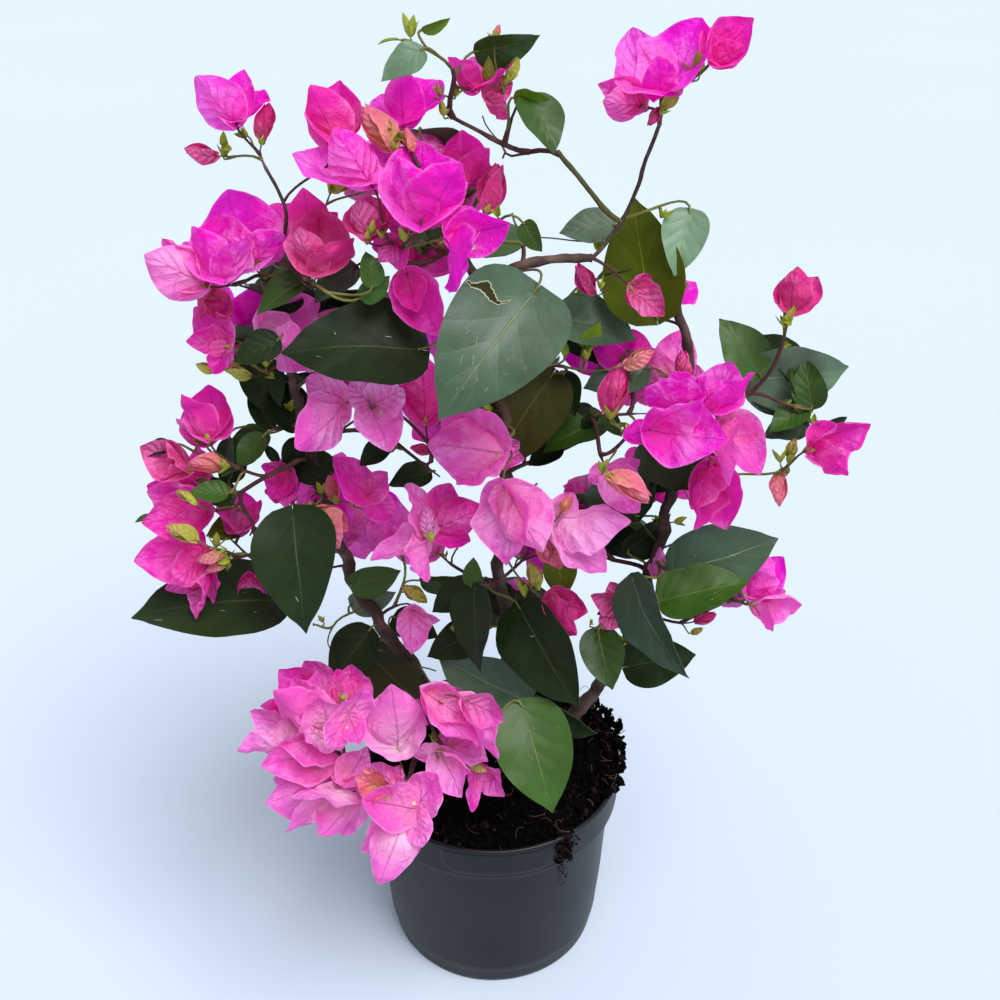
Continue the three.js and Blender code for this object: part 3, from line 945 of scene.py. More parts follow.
def addBract(heap, at, frame3, shape, length, rng, bend, twist, cup, chance):
    fold, curl = rng.uniform(0.4, 1.4), rng.uniform(-0.1, 0.45)
    points, grain = bladeSheet(shape, length, rng, bend, twist, fold, cup, curl)
    heap.grid(points @ frame3.T + at, grain, chance, slot=0)


# colours dealt out by spray
leafTints = {  # flesh, veins, roughness, shine
    "dark": (linear(27, 42, 17), linear(78, 92, 52), 0.48, 0.14),
    # the next tint is a grey-green leaf colour made lighter and bluer for the sky's reflection: partly painted
    # reflection
    "grey": (linear(58, 82, 58), linear(138, 152, 110), 0.40, 0.40),
    # the next tint lightens its leaves for a strong reflection of the sky: painted reflection
    "silver": (linear(92, 118, 90), linear(160, 176, 134), 0.40, 0.40),
    "mid": (linear(46, 76, 20), linear(112, 134, 56), 0.44, 0.32),
    # the next tint is the bright yellow-olive of a leaf that the light shines through: painted light
    "olive": (linear(76, 90, 4), linear(138, 150, 36), 0.50, 0.18),
    # the next tint is a darker copy for leaves that lie in shadow: painted shade; it also fills the torn
    # leaf's gap
    "shade": (linear(50, 50, 22), linear(92, 90, 48), 0.56, 0.10),
    "fresh": (linear(102, 134, 24), linear(164, 180, 72), 0.48, 0.30),
}
underTint = (linear(84, 106, 62), linear(140, 156, 98))  # flesh and veins of every underside
# the edge colour also paints the pale patches of painted highlight on the bracts
bractTints = {  # flesh, heart, edge and veins, how much light comes through
    "hot": (linear(255, 18, 214), linear(250, 64, 190), linear(255, 186, 255), 0.48),
    "magenta": (linear(250, 40, 186), linear(230, 68, 152), linear(255, 184, 250), 0.46),
    "pink": (linear(255, 92, 208), linear(252, 156, 208), linear(255, 214, 255), 0.44),
    "pale": (linear(252, 122, 216), linear(255, 230, 236), linear(255, 190, 250), 0.44),
    "rose": (linear(228, 46, 142), linear(214, 88, 132), linear(252, 156, 214), 0.36),
    "salmon": (linear(240, 112, 146), linear(210, 176, 96), linear(250, 180, 190), 0.32),
    "young": (linear(190, 184, 84), linear(166, 176, 62), linear(232, 160, 134), 0.28),
}

leafHeaps = {tint: Heap("leaves_" + tint) for tint in leafTints}
bractHeaps = {tint: Heap("bracts_" + tint) for tint in bractTints}
tubeHeap = Heap("flower_tubes")
starHeap = Heap("flower_stars")
twigHeaps = {"woody": Heap("twigs_woody"), "green": Heap("twigs_green")}
tuftHeap = Heap("young_leaflets")
scarHeap = Heap("leaf_scars")


branching = {
    "startEvery": 0.004,  # metres between the places on a limb where twigs can start
    "stride": 0.0045,  # metres between a twig's points
    "steer": 0.38,  # share of its length over which a twig's end keeps its direction
    "wander": 0.012,
    "slim": {"bloom": 0.00062, "leaf": 0.00068, "bud": 0.00045, "twig": 0.0006},  # radius at the tip
    "swell": 0.34,  # the power by which a twig thickens with what it carries
    "thickest": 0.0014,
    "stalk": {"bloom": 0.013, "bud": 0.008, "leaf": 0.016, "tuft": 0.003, "twig": 0.0},
}


class Growth:
    # every twig starts on a limb or on an earlier twig, at the point that costs it least
    def __init__(self, routes):
        self.points, self.ways, self.owner, self.step = [], [], [], []
        self.paths = []
        for fine, sized in routes.values():
            every = max(1, int(branching["startEvery"] / limbs["ring"]))
            ways = np.gradient(fine, axis=0)
            ways /= np.linalg.norm(ways, axis=1, keepdims=True)
            for k in range(2, len(fine), every):
                self.mark(fine[k], ways[k], -1, 0)

    def mark(self, point, way, owner, step):
        self.points.append(point)
        self.ways.append(way)
        self.owner.append(owner)
        self.step.append(step)

    def nearest(self, target):
        return np.linalg.norm(np.array(self.points) - target, axis=1).min()

    def beside(self, target, most):
        # the same place, but at most so far from what has grown
        points = np.array(self.points)
        gap = target - points
        best = int(np.argmin(np.linalg.norm(gap, axis=1)))
        far = np.linalg.norm(gap[best])
        return target if far < most else points[best] + gap[best] * most / far

    def reach(self, target, arrive, stalk, rng, kind):
        points, ways = np.array(self.points), np.array(self.ways)
        gap = target - points
        far = np.linalg.norm(gap, axis=1)
        heads = np.einsum("ij,ij->i", gap, ways) / np.maximum(far, 1e-6)
        meets = gap @ arrive / np.maximum(far, 1e-6)
        cost = far * (1.35 - 0.25 * heads - 0.3 * meets) + 0.5 * np.maximum(0, -gap[:, 2])
        cost = cost + np.where(far < 0.6 * stalk, 0.02, 0.0)
        best = int(np.argmin(cost))
        foot, distance = points[best], far[best]
        start = unit(0.7 * unit(gap[best]) + 0.45 * ways[best] + 0.1 * rng.normal(size=3))
        reach = distance * branching["steer"]
        a, b = foot + start * reach, target - arrive * reach
        count = max(5, int(distance / branching["stride"]))
        t = np.linspace(0, 1, count + 1)[:, None]
        path = (1 - t) ** 3 * foot + 3 * t * (1 - t) ** 2 * a + 3 * t * t * (1 - t) * b + t**3 * target
        wander = rng.normal(size=(3, 3)) * distance * branching["wander"]
        for k, push in enumerate(wander):
            path = path + np.sin(math.pi * (k + 1) * t) * push / (k + 1)
        number = len(self.paths)
        self.paths.append({"path": path, "from": (self.owner[best], self.step[best]), "kind": kind})
        run = lengths(path)
        ahead = np.gradient(path, axis=0)
        ahead /= np.linalg.norm(ahead, axis=1, keepdims=True)
        for k in range(1, len(path)):
            if run[-1] - run[k] > stalk:
                self.mark(path[k], ahead[k], number, k)

    def thicken(self):
        # a twig is as thick as what it carries asks for
        for one in self.paths:
            one["load"] = np.zeros(len(one["path"]))
        for one in reversed(self.paths):
            one["carried"] = 1 + np.cumsum(one["load"][::-1])[::-1]
            owner, step = one["from"]
            if owner >= 0:
                self.paths[owner]["load"][step] += one["carried"][0]
        for one in self.paths:
            radii = branching["slim"][one["kind"]] * one["carried"] ** branching["swell"]
            flare = 1 + 0.35 * np.exp(-lengths(one["path"]) / 0.0025)
            one["radii"] = np.minimum(radii, branching["thickest"]) * flare


growth = Growth(routes)


# x, y and z place the foot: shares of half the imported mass's box, from its middle. Sizes are in millimetres.
# Each of a bloom's three bracts has its aim, its lean, its length and, where it stands edge on, its roll.
def bloom(x, y, z, tint, *bracts):
    ways = [(heading(aim, lean), size / 1000, sum(roll)) for aim, lean, size, *roll in bracts]
    return {"kind": "bloom", "at": (x, y, z), "tint": tint, "bracts": ways}


def bud(x, y, z, aim, size, tint):
    return {"kind": "bud", "at": (x, y, z), "way": heading(aim), "size": size / 1000, "tint": tint}


def leaf(x, y, z, aim, lean, roll, size, tint, torn=False):
    return {"kind": "leaf", "at": (x, y, z), "way": heading(aim, lean), "roll": roll,
            "size": size / 1000, "tint": tint, "torn": torn}


def twig(x, y, z, aim, size):
    return {"kind": "twig", "at": (x, y, z), "way": heading(aim), "size": size / 1000}


def tuft(x, y, z, size):
    return {"kind": "tuft", "at": (x, y, z), "way": faceUp, "size": size / 1000}


# The plan's numbers weren't set by hand: a helper outside this file worked them out and rounded them.
plan = {
    "bloom_top_left": [
        bloom(0.25, -0.3, 0, "hot", (132, 22, 26), (86, -12, 29), (68, -35, 28)),
        bud(0.7, 0, -0.35, 82, 19, "rose"),
        bud(-0.3, 0, -0.7, 170, 17, "rose"),
        tuft(-0.25, 0, -0.75, 6),
    ],
    "bloom_upper_left": [
        bloom(-0.4, -0.2, -0.8, "pink", (154, 22, 32), (134, -8, 35), (142, -40, 39)),
        bloom(-0.2, -0.3, -0.65, "hot", (122, 20, 30), (102, -22, 40), (52, 30, 25)),
        bloom(0, 0.1, -0.5, "hot", (112, -15, 46), (36, 25, 24), (134, 45, 18)),
        bloom(0.5, 0.4, -0.3, "magenta", (100, -10, 34), (132, -30, 43), (52, 0, 22)),
        bloom(0.6, -0.4, -0.5, "rose", (108, 25, 24), (90, -15, 38), (40, 15, 26)),
        leaf(0.45, 0.1, -0.8, 218, 5, 36, 31, "mid"),
        leaf(0.25, 0.4, -0.65, 120, 0, 0, 16, "silver"),
        leaf(0.6, -0.2, -0.8, 68, 0, 20, 14, "mid"),
        leaf(0.85, 0.5, -0.75, 222, 0, 15, 28, "grey"),
        leaf(0.35, 0.4, -1.35, 206, 0, 20, 22, "dark"),
        tuft(0.55, -0.3, -0.65, 6),
        tuft(-0.4, -0.2, -0.85, 6),
    ],
    "bloom_crown_left": [
        bloom(0.55, -0.4, -0.5, "hot", (126, 22, 30), (158, -5, 40), (62, -35, 30)),
        bloom(-0.1, 0.2, -0.05, "magenta", (114, 12, 29), (90, -15, 36), (66, -20, 26)),
        bud(1, 0, -0.05, 128, 25, "salmon"),
        bud(1.35, 0, -0.1, 104, 12, "salmon"),
        tuft(1.05, 0, 0.15, 5),
    ],
    "bloom_crown_right": [
        bloom(-0.55, -0.3, 0.45, "hot", (92, 15, 26), (62, -25, 35), (120, -35, 30)),
        bloom(0.35, 0.4, -0.6, "magenta", (94, -10, 31), (56, 10, 21), (126, -20, 29)),
        bud(0.7, 0, -0.9, 76, 25, "rose"),
        twig(1.1, 0.3, -1.05, 100, 29),
    ],
    "bloom_crown_front": [
        bloom(-0.35, -0.4, 0.05, "hot", (112, 20, 31), (48, 28, 33), (90, -25, 48)),
        bloom(0.05, -0.5, -0.2, "hot", (276, 35, 33), (12, 10, 29), (58, -20, 20)),
        bloom(-1.1, 0.2, -0.35, "rose", (104, 12, 19), (66, -10, 20), (90, -30, 27)),
        bloom(-0.7, 0.3, -0.45, "magenta", (230, 15, 15), (274, -5, 14), (188, -20, 14)),
        bloom(-0.6, 0.4, -1, "magenta", (284, 10, 20), (296, 0, 34), (220, -20, 10)),
        leaf(-0.4, -0.2, -0.25, 16, 0, 50, 15, "mid"),
        leaf(-1.05, 0, -1.05, 102, 0, 20, 17, "mid"),
        leaf(-1.2, 0, -1.25, 38, 0, 40, 17, "mid"),
        leaf(1, 0.4, -0.2, 302, 0, 30, 16, "mid"),
        tuft(-0.65, -0.3, -0.3, 6),
        tuft(-0.85, -0.2, -0.35, 5),
        tuft(-1.15, 0.1, -0.3, 5),
    ],
    "tip_top": [
        leaf(-0.45, -0.5, 0.3, 218, 0, 10, 23, "silver"),
        twig(-0.15, -0.3, 0.05, 150, 19),
        leaf(0.25, 0, 0.25, 14, 0, 62, 30, "mid"),
        leaf(-0.45, 0, 0.65, 22, 0, 60, 15, "fresh"),
        leaf(-0.7, 0, 0.45, 190, 0, 65, 11, "fresh"),
        bloom(0.2, -0.2, -0.5, "magenta", (134, 15, 19), (48, -10, 28), (94, -25, 22)),
        bloom(0.35, -0.2, -0.7, "rose", (312, 10, 14), (30, 10, 15), (70, -15, 18)),
        bud(0.6, 0, -0.3, 62, 12, "young"),
        bud(0.45, 0, 0.5, 74, 7, "salmon"),
        tuft(-0.65, 0, 0.6, 8),
        tuft(0.25, 0, -0.5, 9),
        tuft(-0.05, 0, -0.7, 7),
        tuft(-0.25, 0, -0.85, 6),
        tuft(-0.2, 0, -1.1, 6),
        twig(0.5, -0.2, -3.7, 98, 62),
        twig(0.8, -0.1, -3.8, 102, 50),
        twig(0.25, 0, -1.4, 152, 20),
    ],
    "leaf_top_right": [
        leaf(-0.55, 0.1, 0.5, 292, 8, -20, 31, "mid"),
        leaf(-1.05, 0.1, 0.55, 356, 0, 60, 17, "fresh"),
    ],
    "bloom_top_right": [
        bloom(-0.2, -0.3, -0.3, "hot", (108, -10, 39), (62, -8, 45), (104, 45, 19)),
        bloom(0.4, 0, 0.25, "magenta", (46, 5, 28), (60, -25, 26), (18, 25, 16)),
        bloom(-0.4, -0.1, -0.5, "magenta", (158, 10, 24), (186, 30, 23), (132, -25, 16)),
        bud(-0.2, -0.2, -0.55, 238, 10, "rose"),
        bud(-0.15, -0.3, -0.5, 56, 13, "young"),
        tuft(0.45, 0, 0.15, 10),
        tuft(-0.1, 0, -0.6, 6),
    ],
    "leaves_upper_right": [
        leaf(0.4, -0.3, -0.95, 100, 0, -35, 64, "olive"),
        leaf(0.85, 0.2, 0.55, 256, 0, 10, 34, "silver"),
        leaf(-0.25, 0.5, 0.3, 188, 0, 20, 29, "silver"),
        bloom(0, -0.7, -0.4, "rose", (318, 2, 23), (30, -8, 12), (276, -18, 11)),
        bud(-0.55, -0.2, -0.6, 118, 18, "rose"),
        tuft(-0.55, -0.2, -0.6, 6),
        twig(-0.45, 0.4, 0.1, 178, 31),
    ],
    "leaf_centre_front": [
        leaf(0.5, -0.5, 0.75, 234, 12, 0, 78, "grey", torn=True),
    ],
    "leaf_left_front": [
        leaf(0.95, -0.6, -0.1, 182, 8, 26, 69, "dark"),
    ],
    "leaves_centre_top": [
        leaf(-0.8, 0, 0.3, 344, 0, -20, 45, "grey"),
        leaf(1.1, 0.4, -1.1, 198, 0, 15, 37, "grey"),
        leaf(-0.3, -0.7, -0.15, 56, 20, 30, 16, "fresh"),
        leaf(-0.7, -0.7, -0.4, 98, 10, 10, 10, "fresh"),
        tuft(-0.15, -0.7, 0.15, 7),
    ],
    "leaves_centre_back": [
        leaf(0.35, 0.2, 0.6, 238, -5, 15, 66, "shade"),
        leaf(0.55, 0.3, 0.6, 288, 0, 0, 25, "dark"),
        leaf(1.3, 0.2, -0.1, 208, 0, 35, 39, "mid"),
        leaf(1.35, -0.3, 0.2, 302, 0, 30, 16, "mid"),
        leaf(1.15, 0.4, 0, 216, 0, 20, 23, "dark"),
        twig(0.55, -0.2, 0.75, 230, 45),
        twig(1.25, -0.1, 0.1, 2, 27),
        twig(0.15, 0.1, -1.1, 42, 50),
        twig(-0.35, 0.3, -0.95, 20, 32),
        leaf(0.55, 0.5, -0.6, 214, 0, 20, 22, "dark"),
    ],
    "bloom_left_small": [
        bloom(-0.4, -0.1, -0.35, "magenta", (132, -8, 28), (174, 10, 22), (248, 15, 17)),
        bloom(0.1, -0.2, 0.1, "pink", (24, -8, 33), (322, 12, 38), (330, -20, 17)),
        bloom(-0.65, 0.2, 0.85, "rose", (266, 10, 19), (310, 0, 24), (318, -20, 12)),
        leaf(0.35, -0.7, 0, 206, 0, 10, 25, "dark"),
        bud(-0.6, -0.2, -0.85, 164, 11, "young"),
        bud(-0.15, -0.2, -1, 162, 14, "young"),
        tuft(0.1, -0.2, -0.8, 6),
    ],
    "bloom_right_tip": [
        bloom(-0.25, 0, -0.55, "rose", (86, 15, 25), (52, -5, 25), (104, -15, 19)),
        tuft(-0.4, 0, -0.75, 10),
    ],
    "leaves_right_top": [
        leaf(-0.4, -0.2, 0.2, 126, 0, 15, 37, "mid"),
        leaf(-0.45, 0.3, 0, 6, 0, 35, 58, "silver"),
        leaf(0.35, -0.1, -0.2, 114, 0, 20, 23, "mid"),
        leaf(0.4, -0.4, -0.25, 98, 0, -20, 27, "mid"),
        leaf(0.3, -0.3, -0.3, 216, 0, 20, 24, "mid"),
        leaf(0.4, -0.1, -0.6, 198, 0, 30, 26, "grey"),
        leaf(0.7, 0, -0.65, 18, 0, 40, 14, "dark"),
        leaf(0.15, 0.2, -0.5, 160, 0, 30, 25, "dark"),
        tuft(0.6, 0, -0.45, 9),
        twig(-0.3, -0.3, -0.1, 338, 24),
    ],
    "bloom_right_upper": [
        bloom(0.1, -0.4, 0.1, "hot", (162, 20, 29), (66, 5, 16), (118, -20, 22)),
        bloom(-0.35, -0.6, -0.2, "hot", (352, 15, 40), (196, 5, 15), (28, 35, 33)),
        bloom(0.35, -0.2, -0.05, "hot", (42, 12, 29), (64, -20, 31), (122, 25, 13)),
        bloom(0.5, 0, -0.4, "pink", (346, 5, 23), (302, 12, 36), (272, 22, 37)),
        bud(-0.75, -0.2, -0.1, 80, 27, "rose"),
        bud(-0.6, 0, 0.55, 24, 17, "salmon"),
        bud(0.05, 0.2, 0.25, 90, 16, "rose"),
        leaf(-0.25, 0.7, -1.1, 314, 0, 10, 36, "dark"),
        tuft(-0.95, -0.2, 0, 7),
        bloom(0.2, -0.3, -0.25, "hot", (202, 15, 33), (162, 10, 22), (268, 20, 17)),
    ],
    "bloom_right_lower": [
        bloom(-0.4, -0.2, 0.5, "magenta", (254, 15, 40), (284, -5, 39), (242, 20, 31)),
        bud(0.1, 0.2, -0.1, 246, 10, "young"),
    ],
    "bloom_far_right": [
        bloom(-0.2, -0.3, 0.45, "magenta", (24, 10, 37), (322, 20, 25), (40, -15, 24)),
        bud(-0.55, 0, -0.25, 262, 19, "salmon"),
        bud(-0.45, 0, 0.15, 76, 12, "young"),
        tuft(-0.6, 0, 0, 7),
    ],
    "leaves_left": [
        leaf(0.2, 0, 0.1, 124, 0, 30, 23, "dark"),
        leaf(-0.9, 0, -1.2, 84, 0, 40, 25, "dark"),
        leaf(0.25, 0.1, -0.85, 126, 0, 20, 14, "dark"),
        leaf(0, 0, -0.05, 154, 0, 30, 10, "mid"),
        leaf(0.05, -0.3, -0.05, 230, 0, 25, 22, "mid"),
        leaf(0.8, 0.2, 0, 120, 0, 30, 36, "dark"),
        leaf(0, 0.2, -0.2, 224, 0, 35, 35, "mid"),
        leaf(1.4, 0.3, -1.15, 152, 0, 20, 24, "dark"),
        leaf(-0.9, -0.1, -1.7, 154, 0, 40, 27, "mid"),
        bloom(0.4, 0.3, -1.85, "magenta", (108, 0, 29), (72, 10, 21), (162, -10, 17)),
        twig(1, -0.3, -1.5, 212, 42),
        twig(0.65, -0.2, -0.7, 210, 40),
        leaf(0.65, 0.2, -0.85, 330, 0, 25, 24, "dark"),
        leaf(-0.8, 0.1, -0.3, 272, 0, 45, 23, "dark"),
        leaf(0.75, 0.4, -0.45, 238, 0, 20, 18, "dark"),
    ],
    "bloom_left_upper": [
        bloom(0.6, -0.3, 0.2, "magenta", (118, 15, 28), (94, -15, 33), (56, -20, 20)),
        bloom(0.05, -0.2, -0.4, "rose", (128, 12, 21), (154, 0, 31), (200, 15, 16)),
        bloom(0.05, 0.2, -1.15, "magenta", (166, 0, 33), (180, -20, 34), (150, 10, 21)),
        bud(0.9, -0.6, -0.15, 176, 21, "salmon"),
        tuft(0.75, -0.4, -0.25, 7),
        leaf(-0.4, 0.2, -0.15, 204, 0, 30, 17, "dark"),
        bloom(0.4, 0.1, -0.05, "magenta", (138, 8, 21), (108, 0, 29), (76, -20, 27)),
        leaf(0.65, 0, -0.95, 196, 0, 35, 21, "dark"),
        bloom(0.2, 0.5, -0.85, "magenta", (170, 5, 21), (224, 5, 18), (114, -10, 20)),
    ],
    "bloom_left_lower": [
        bloom(0.15, 0, 0.65, "magenta", (162, 5, 36), (190, 10, 39), (220, 20, 26)),
        bloom(0.1, -0.3, 0.15, "magenta", (184, 10, 41), (166, -15, 36), (222, 25, 24)),
        bloom(0.1, -0.2, -0.1, "magenta", (256, 15, 30), (204, 0, 28), (278, 0, 20)),
        bloom(0.45, 0.4, 0.2, "magenta", (124, -10, 26), (56, -10, 23), (92, -20, 28)),
        bloom(0.5, 0.3, -0.4, "magenta", (266, 5, 18), (308, 0, 18), (282, -10, 20)),
        bud(0.1, -0.7, 0.55, 152, 18, "young"),
        bud(0.1, -0.5, 1, 146, 11, "young"),
        bud(0.35, -0.5, 0.3, 204, 15, "salmon"),
        bud(0.35, -0.4, 0.1, 208, 13, "salmon"),
        tuft(0.3, -0.5, 0.35, 7),
        tuft(0.35, -0.5, 0, 8),
        tuft(0.35, -0.4, -0.25, 6),
        leaf(0.9, 0, -0.65, 186, 10, 52, 85, "dark"),
        leaf(0.5, -0.4, 1.05, 178, 0, 30, 20, "mid"),
        leaf(-0.6, 0.2, 0.5, 198, 0, 40, 11, "mid"),
        bloom(1.15, 0.6, 1, "magenta", (240, 5, 21), (266, 0, 23), (174, 0, 16)),
        leaf(0.5, 0.7, 0.2, 198, 0, 20, 26, "olive"),
        twig(0.7, 0.2, -0.2, 140, 30),
    ],
    "leaf_left_hang": [
        leaf(0.15, -0.4, 1.05, 278, 10, 0, 66, "dark"),
    ],
    "bloom_centre_left": [
        bloom(0.1, -0.3, 0.4, "pink", (224, 20, 37), (150, -10, 26), (228, -20, 17)),
        bloom(0.45, -0.4, 0.4, "pink", (134, 35, 18), (20, 35, 25), (294, 20, 28)),
        leaf(0.55, 0.7, -0.95, 216, 0, 20, 19, "dark"),
    ],
    "bloom_centre_left_low": [
        bloom(0.4, -0.3, 0.2, "magenta", (130, 15, 29), (48, 20, 20), (324, 10, 19)),
        bloom(-0.55, -0.5, 0, "salmon", (358, 0, 15), (302, 10, 25), (326, -20, 21)),
        bud(-0.3, 0.2, -0.05, 108, 14, "salmon"),
        tuft(-0.75, -0.5, -0.05, 7),
        leaf(1.55, 0.6, 0.3, 198, 0, 25, 25, "dark"),
        twig(1.1, 0.3, 0.95, 322, 26),
    ],
    "bloom_centre": [
        bloom(-0.65, 0.2, 0, "magenta", (92, -5, 39), (110, -20, 28), (82, -20, 29)),
        bloom(0.6, -0.4, -0.3, "pink", (174, 25, 42), (214, 8, 28), (142, 0, 39)),
        bloom(0.55, 0.3, -0.65, "magenta", (36, 0, 16), (0, 10, 16), (316, -10, 9)),
        bud(-0.6, 0.2, -0.5, 166, 11, "rose"),
    ],
    "bloom_centre_low": [
        bloom(0, -0.5, 0.1, "pink", (274, 25, 27), (206, 5, 33, 50), (108, -10, 30, 55)),
        bloom(0.1, -0.1, 0, "magenta", (24, 10, 33), (68, -15, 28), (342, -5, 22)),
        bud(0.1, -0.7, 0.2, 94, 17, "pale"),
    ],
    "bloom_centre_right": [
        bloom(-0.75, -0.4, 0.6, "pink", (300, 12, 41, 64), (272, 0, 43, 58), (262, -10, 18, 50)),
        bloom(-0.3, -0.2, -0.4, "salmon", (300, 10, 20), (328, 10, 16), (282, 25, 13)),
        bloom(-0.2, -0.4, -0.05, "pale", (4, 15, 46), (318, 5, 39), (56, -10, 21)),
        bloom(0.45, 0.1, 0.65, "pink", (200, 20, 14), (18, 0, 17), (304, 10, 28)),
        bud(0.4, -0.8, 0.95, 330, 25, "salmon"),
        bud(-0.1, -0.5, 0.25, 62, 11, "salmon"),
        bud(-0.35, 0, -1.35, 108, 15, "young"),
        tuft(0.3, -0.5, 0.85, 7),
    ],
    "leaves_right_mid": [
        leaf(-1.15, -0.2, -0.9, 40, 0, 30, 34, "dark"),
        leaf(-0.4, 0.3, 0.8, 282, 0, 20, 32, "dark"),
        leaf(1.05, 0.5, 0.5, 212, 0, 30, 43, "dark"),
        twig(-0.85, -0.4, 0.45, 340, 24),
        twig(0.25, -0.4, 0.2, 296, 11),
    ],
    "leaves_right_low": [
        leaf(-0.75, -0.1, 0.2, 18, 5, 15, 62, "grey"),
        leaf(-0.9, -0.5, -0.2, 14, 10, -35, 50, "mid"),
        bloom(0.2, -0.2, -0.25, "hot", (76, 15, 29), (48, 0, 31), (32, -20, 22)),
        bloom(0.25, -0.4, -0.35, "pink", (4, 10, 28), (302, 10, 18), (20, -15, 22)),
        bloom(0.2, 0.3, -0.5, "pale", (212, 0, 16), (204, -20, 9), (164, -20, 10)),
        bloom(-0.95, 0.5, -0.25, "pink", (80, 10, 19), (96, -20, 10), (46, -20, 14)),
        bud(-0.45, 0, -1.2, 26, 8, "young"),
        bud(-0.4, 0.1, -1, 22, 14, "rose"),
        tuft(0.35, -0.5, -0.3, 8),
        tuft(-0.5, 0.4, -0.25, 6),
    ],
    "leaves_right_hang": [
        leaf(-0.2, -0.5, 1.15, 300, 8, 54, 64, "grey"),
        leaf(-0.7, -0.3, 0.25, 284, 10, 10, 36, "mid"),
        leaf(-0.1, 0.3, -0.65, 10, 0, -20, 44, "dark"),
    ],
    "leaves_centre_low": [
        leaf(0.1, -0.3, 0.7, 302, 10, 34, 66, "dark"),
        leaf(0.15, -0.1, -0.9, 152, 5, -20, 61, "grey"),
        leaf(-0.45, -0.2, 0.95, 274, 0, 42, 49, "dark"),
        leaf(0.25, 0, -1, 334, 0, 50, 48, "dark"),
        leaf(0.55, 0.2, 1.3, 276, 0, 0, 27, "olive"),
        leaf(-0.5, -0.1, 1, 84, 0, 10, 16, "mid"),
        bloom(0.4, -0.5, 0.95, "rose", (344, 5, 26), (310, 20, 28), (18, -15, 15)),
        bloom(1.35, 0, 0.6, "rose", (162, 5, 21), (224, 0, 19), (116, -10, 16)),
        tuft(0.1, -0.6, 0.95, 9),
        leaf(-0.45, 0.4, 0.7, 210, 0, 30, 31, "dark"),
        leaf(-0.45, 0.3, 0, 206, 0, 20, 34, "dark"),
        twig(-0.1, 0.2, 1.2, 236, 36),
        twig(0.6, 0.3, 1.15, 296, 52),
    ],
    "leaf_pot_front": [
        leaf(-0.35, -0.3, 0.85, 286, 10, -5, 63, "mid"),
    ],
    "bloom_low_left": [
        bloom(-0.1, -0.1, -0.5, "pale", (184, 12, 35), (154, -8, 35), (142, -30, 34)),
        bloom(0.4, -0.3, -0.6, "pink", (188, 18, 42), (166, 20, 34), (214, 0, 30)),
        bloom(0.35, -0.3, 0, "pink", (140, 18, 39), (124, 0, 35), (102, -15, 33)),
        bloom(0.45, -0.5, -0.15, "pale", (140, 25, 27), (102, 25, 34), (44, 25, 11)),
        bloom(0.7, -0.6, 0.55, "pink", (238, 25, 21), (56, 25, 22), (298, 25, 18)),
        bloom(0.65, 0.1, 0.15, "magenta", (88, 0, 25), (112, -10, 23), (58, -15, 19)),
        bloom(0.3, 0.5, -0.45, "magenta", (174, 0, 44), (142, -10, 44), (122, -20, 38)),
        tuft(-0.1, 0.1, -0.95, 6),
    ],
    "bloom_low_front": [
        bloom(0.35, -0.4, 0.35, "pale", (230, 18, 33), (176, 24, 38), (256, 0, 26)),
        bloom(0.15, -0.2, 0.3, "pale", (190, 12, 44), (218, 12, 41), (174, -5, 40)),
        bloom(0.25, -0.4, 0.6, "pink", (58, 10, 26), (26, 20, 8), (108, -20, 15)),
        bloom(0, 0.2, 0.3, "pink", (172, 10, 36), (208, 10, 22), (156, -10, 17)),
    ],
    "bloom_low_right": [
        bloom(-0.45, -0.4, 0.05, "pale", (94, 15, 44), (120, 10, 36), (64, -5, 28)),
        bloom(-0.05, 0, 0.8, "pink", (318, 18, 42), (4, 0, 20), (330, 15, 31)),
        bloom(0.45, -0.1, 0.75, "pink", (304, 12, 38), (332, 0, 26), (6, -10, 11)),
        bloom(0.1, -0.3, -0.05, "pale", (300, 20, 29), (336, 22, 23), (184, 15, 15)),
        bloom(0.25, 0.1, -0.25, "pink", (342, 10, 23), (24, 0, 15), (104, -10, 13)),
        bloom(0.6, 0.1, -0.65, "magenta", (268, 12, 26), (312, 5, 25), (318, -10, 13)),
        bloom(-0.35, 0.4, -0.15, "pink", (52, 0, 24), (4, 0, 10), (106, -20, 19)),
        bud(0.55, 0, -0.5, 328, 10, "young"),
        tuft(-0.1, 0.2, -0.25, 6),
    ],
    "bloom_low_hang": [
        bloom(0.5, -0.3, 0.8, "pink", (58, 20, 27), (284, 22, 21), (164, 22, 31)),
        bloom(0.25, -0.5, 0.65, "pale", (248, 20, 36), (216, -5, 30), (278, -15, 24)),
        bloom(-0.05, -0.2, 1, "salmon", (148, 12, 22), (130, 0, 20), (208, 15, 14)),
        bloom(0.05, 0.3, 0.85, "pink", (132, 0, 20), (78, 0, 13), (228, 0, 11)),
    ],
    "leaves_left_low": [
        leaf(-0.4, -0.3, -0.1, 234, 0, 10, 41, "dark"),
        leaf(-0.55, -0.2, 0.65, 16, 0, 30, 31, "mid"),
        leaf(-0.5, 0.3, -0.7, 318, 0, 20, 57, "shade"),
        twig(-1.05, -0.2, -0.05, 306, 19),
        twig(-0.25, 0, -0.4, 330, 39),
        twig(-0.15, 0, -0.65, 324, 32),
        leaf(-0.6, 0.2, 0.15, 16, 0, 30, 29, "silver"),
        leaf(0.25, 0.2, 0.55, 4, 0, 50, 28, "mid"),
        bloom(0.15, -0.5, 0.35, "pink", (342, 10, 18), (268, 15, 29), (214, -10, 12)),
        bud(0.65, -0.6, 0.1, 4, 15, "salmon"),
        bud(0.25, -0.3, 0.45, 146, 17, "young"),
        twig(-0.65, 0.3, 0.75, 256, 44),
    ],
}

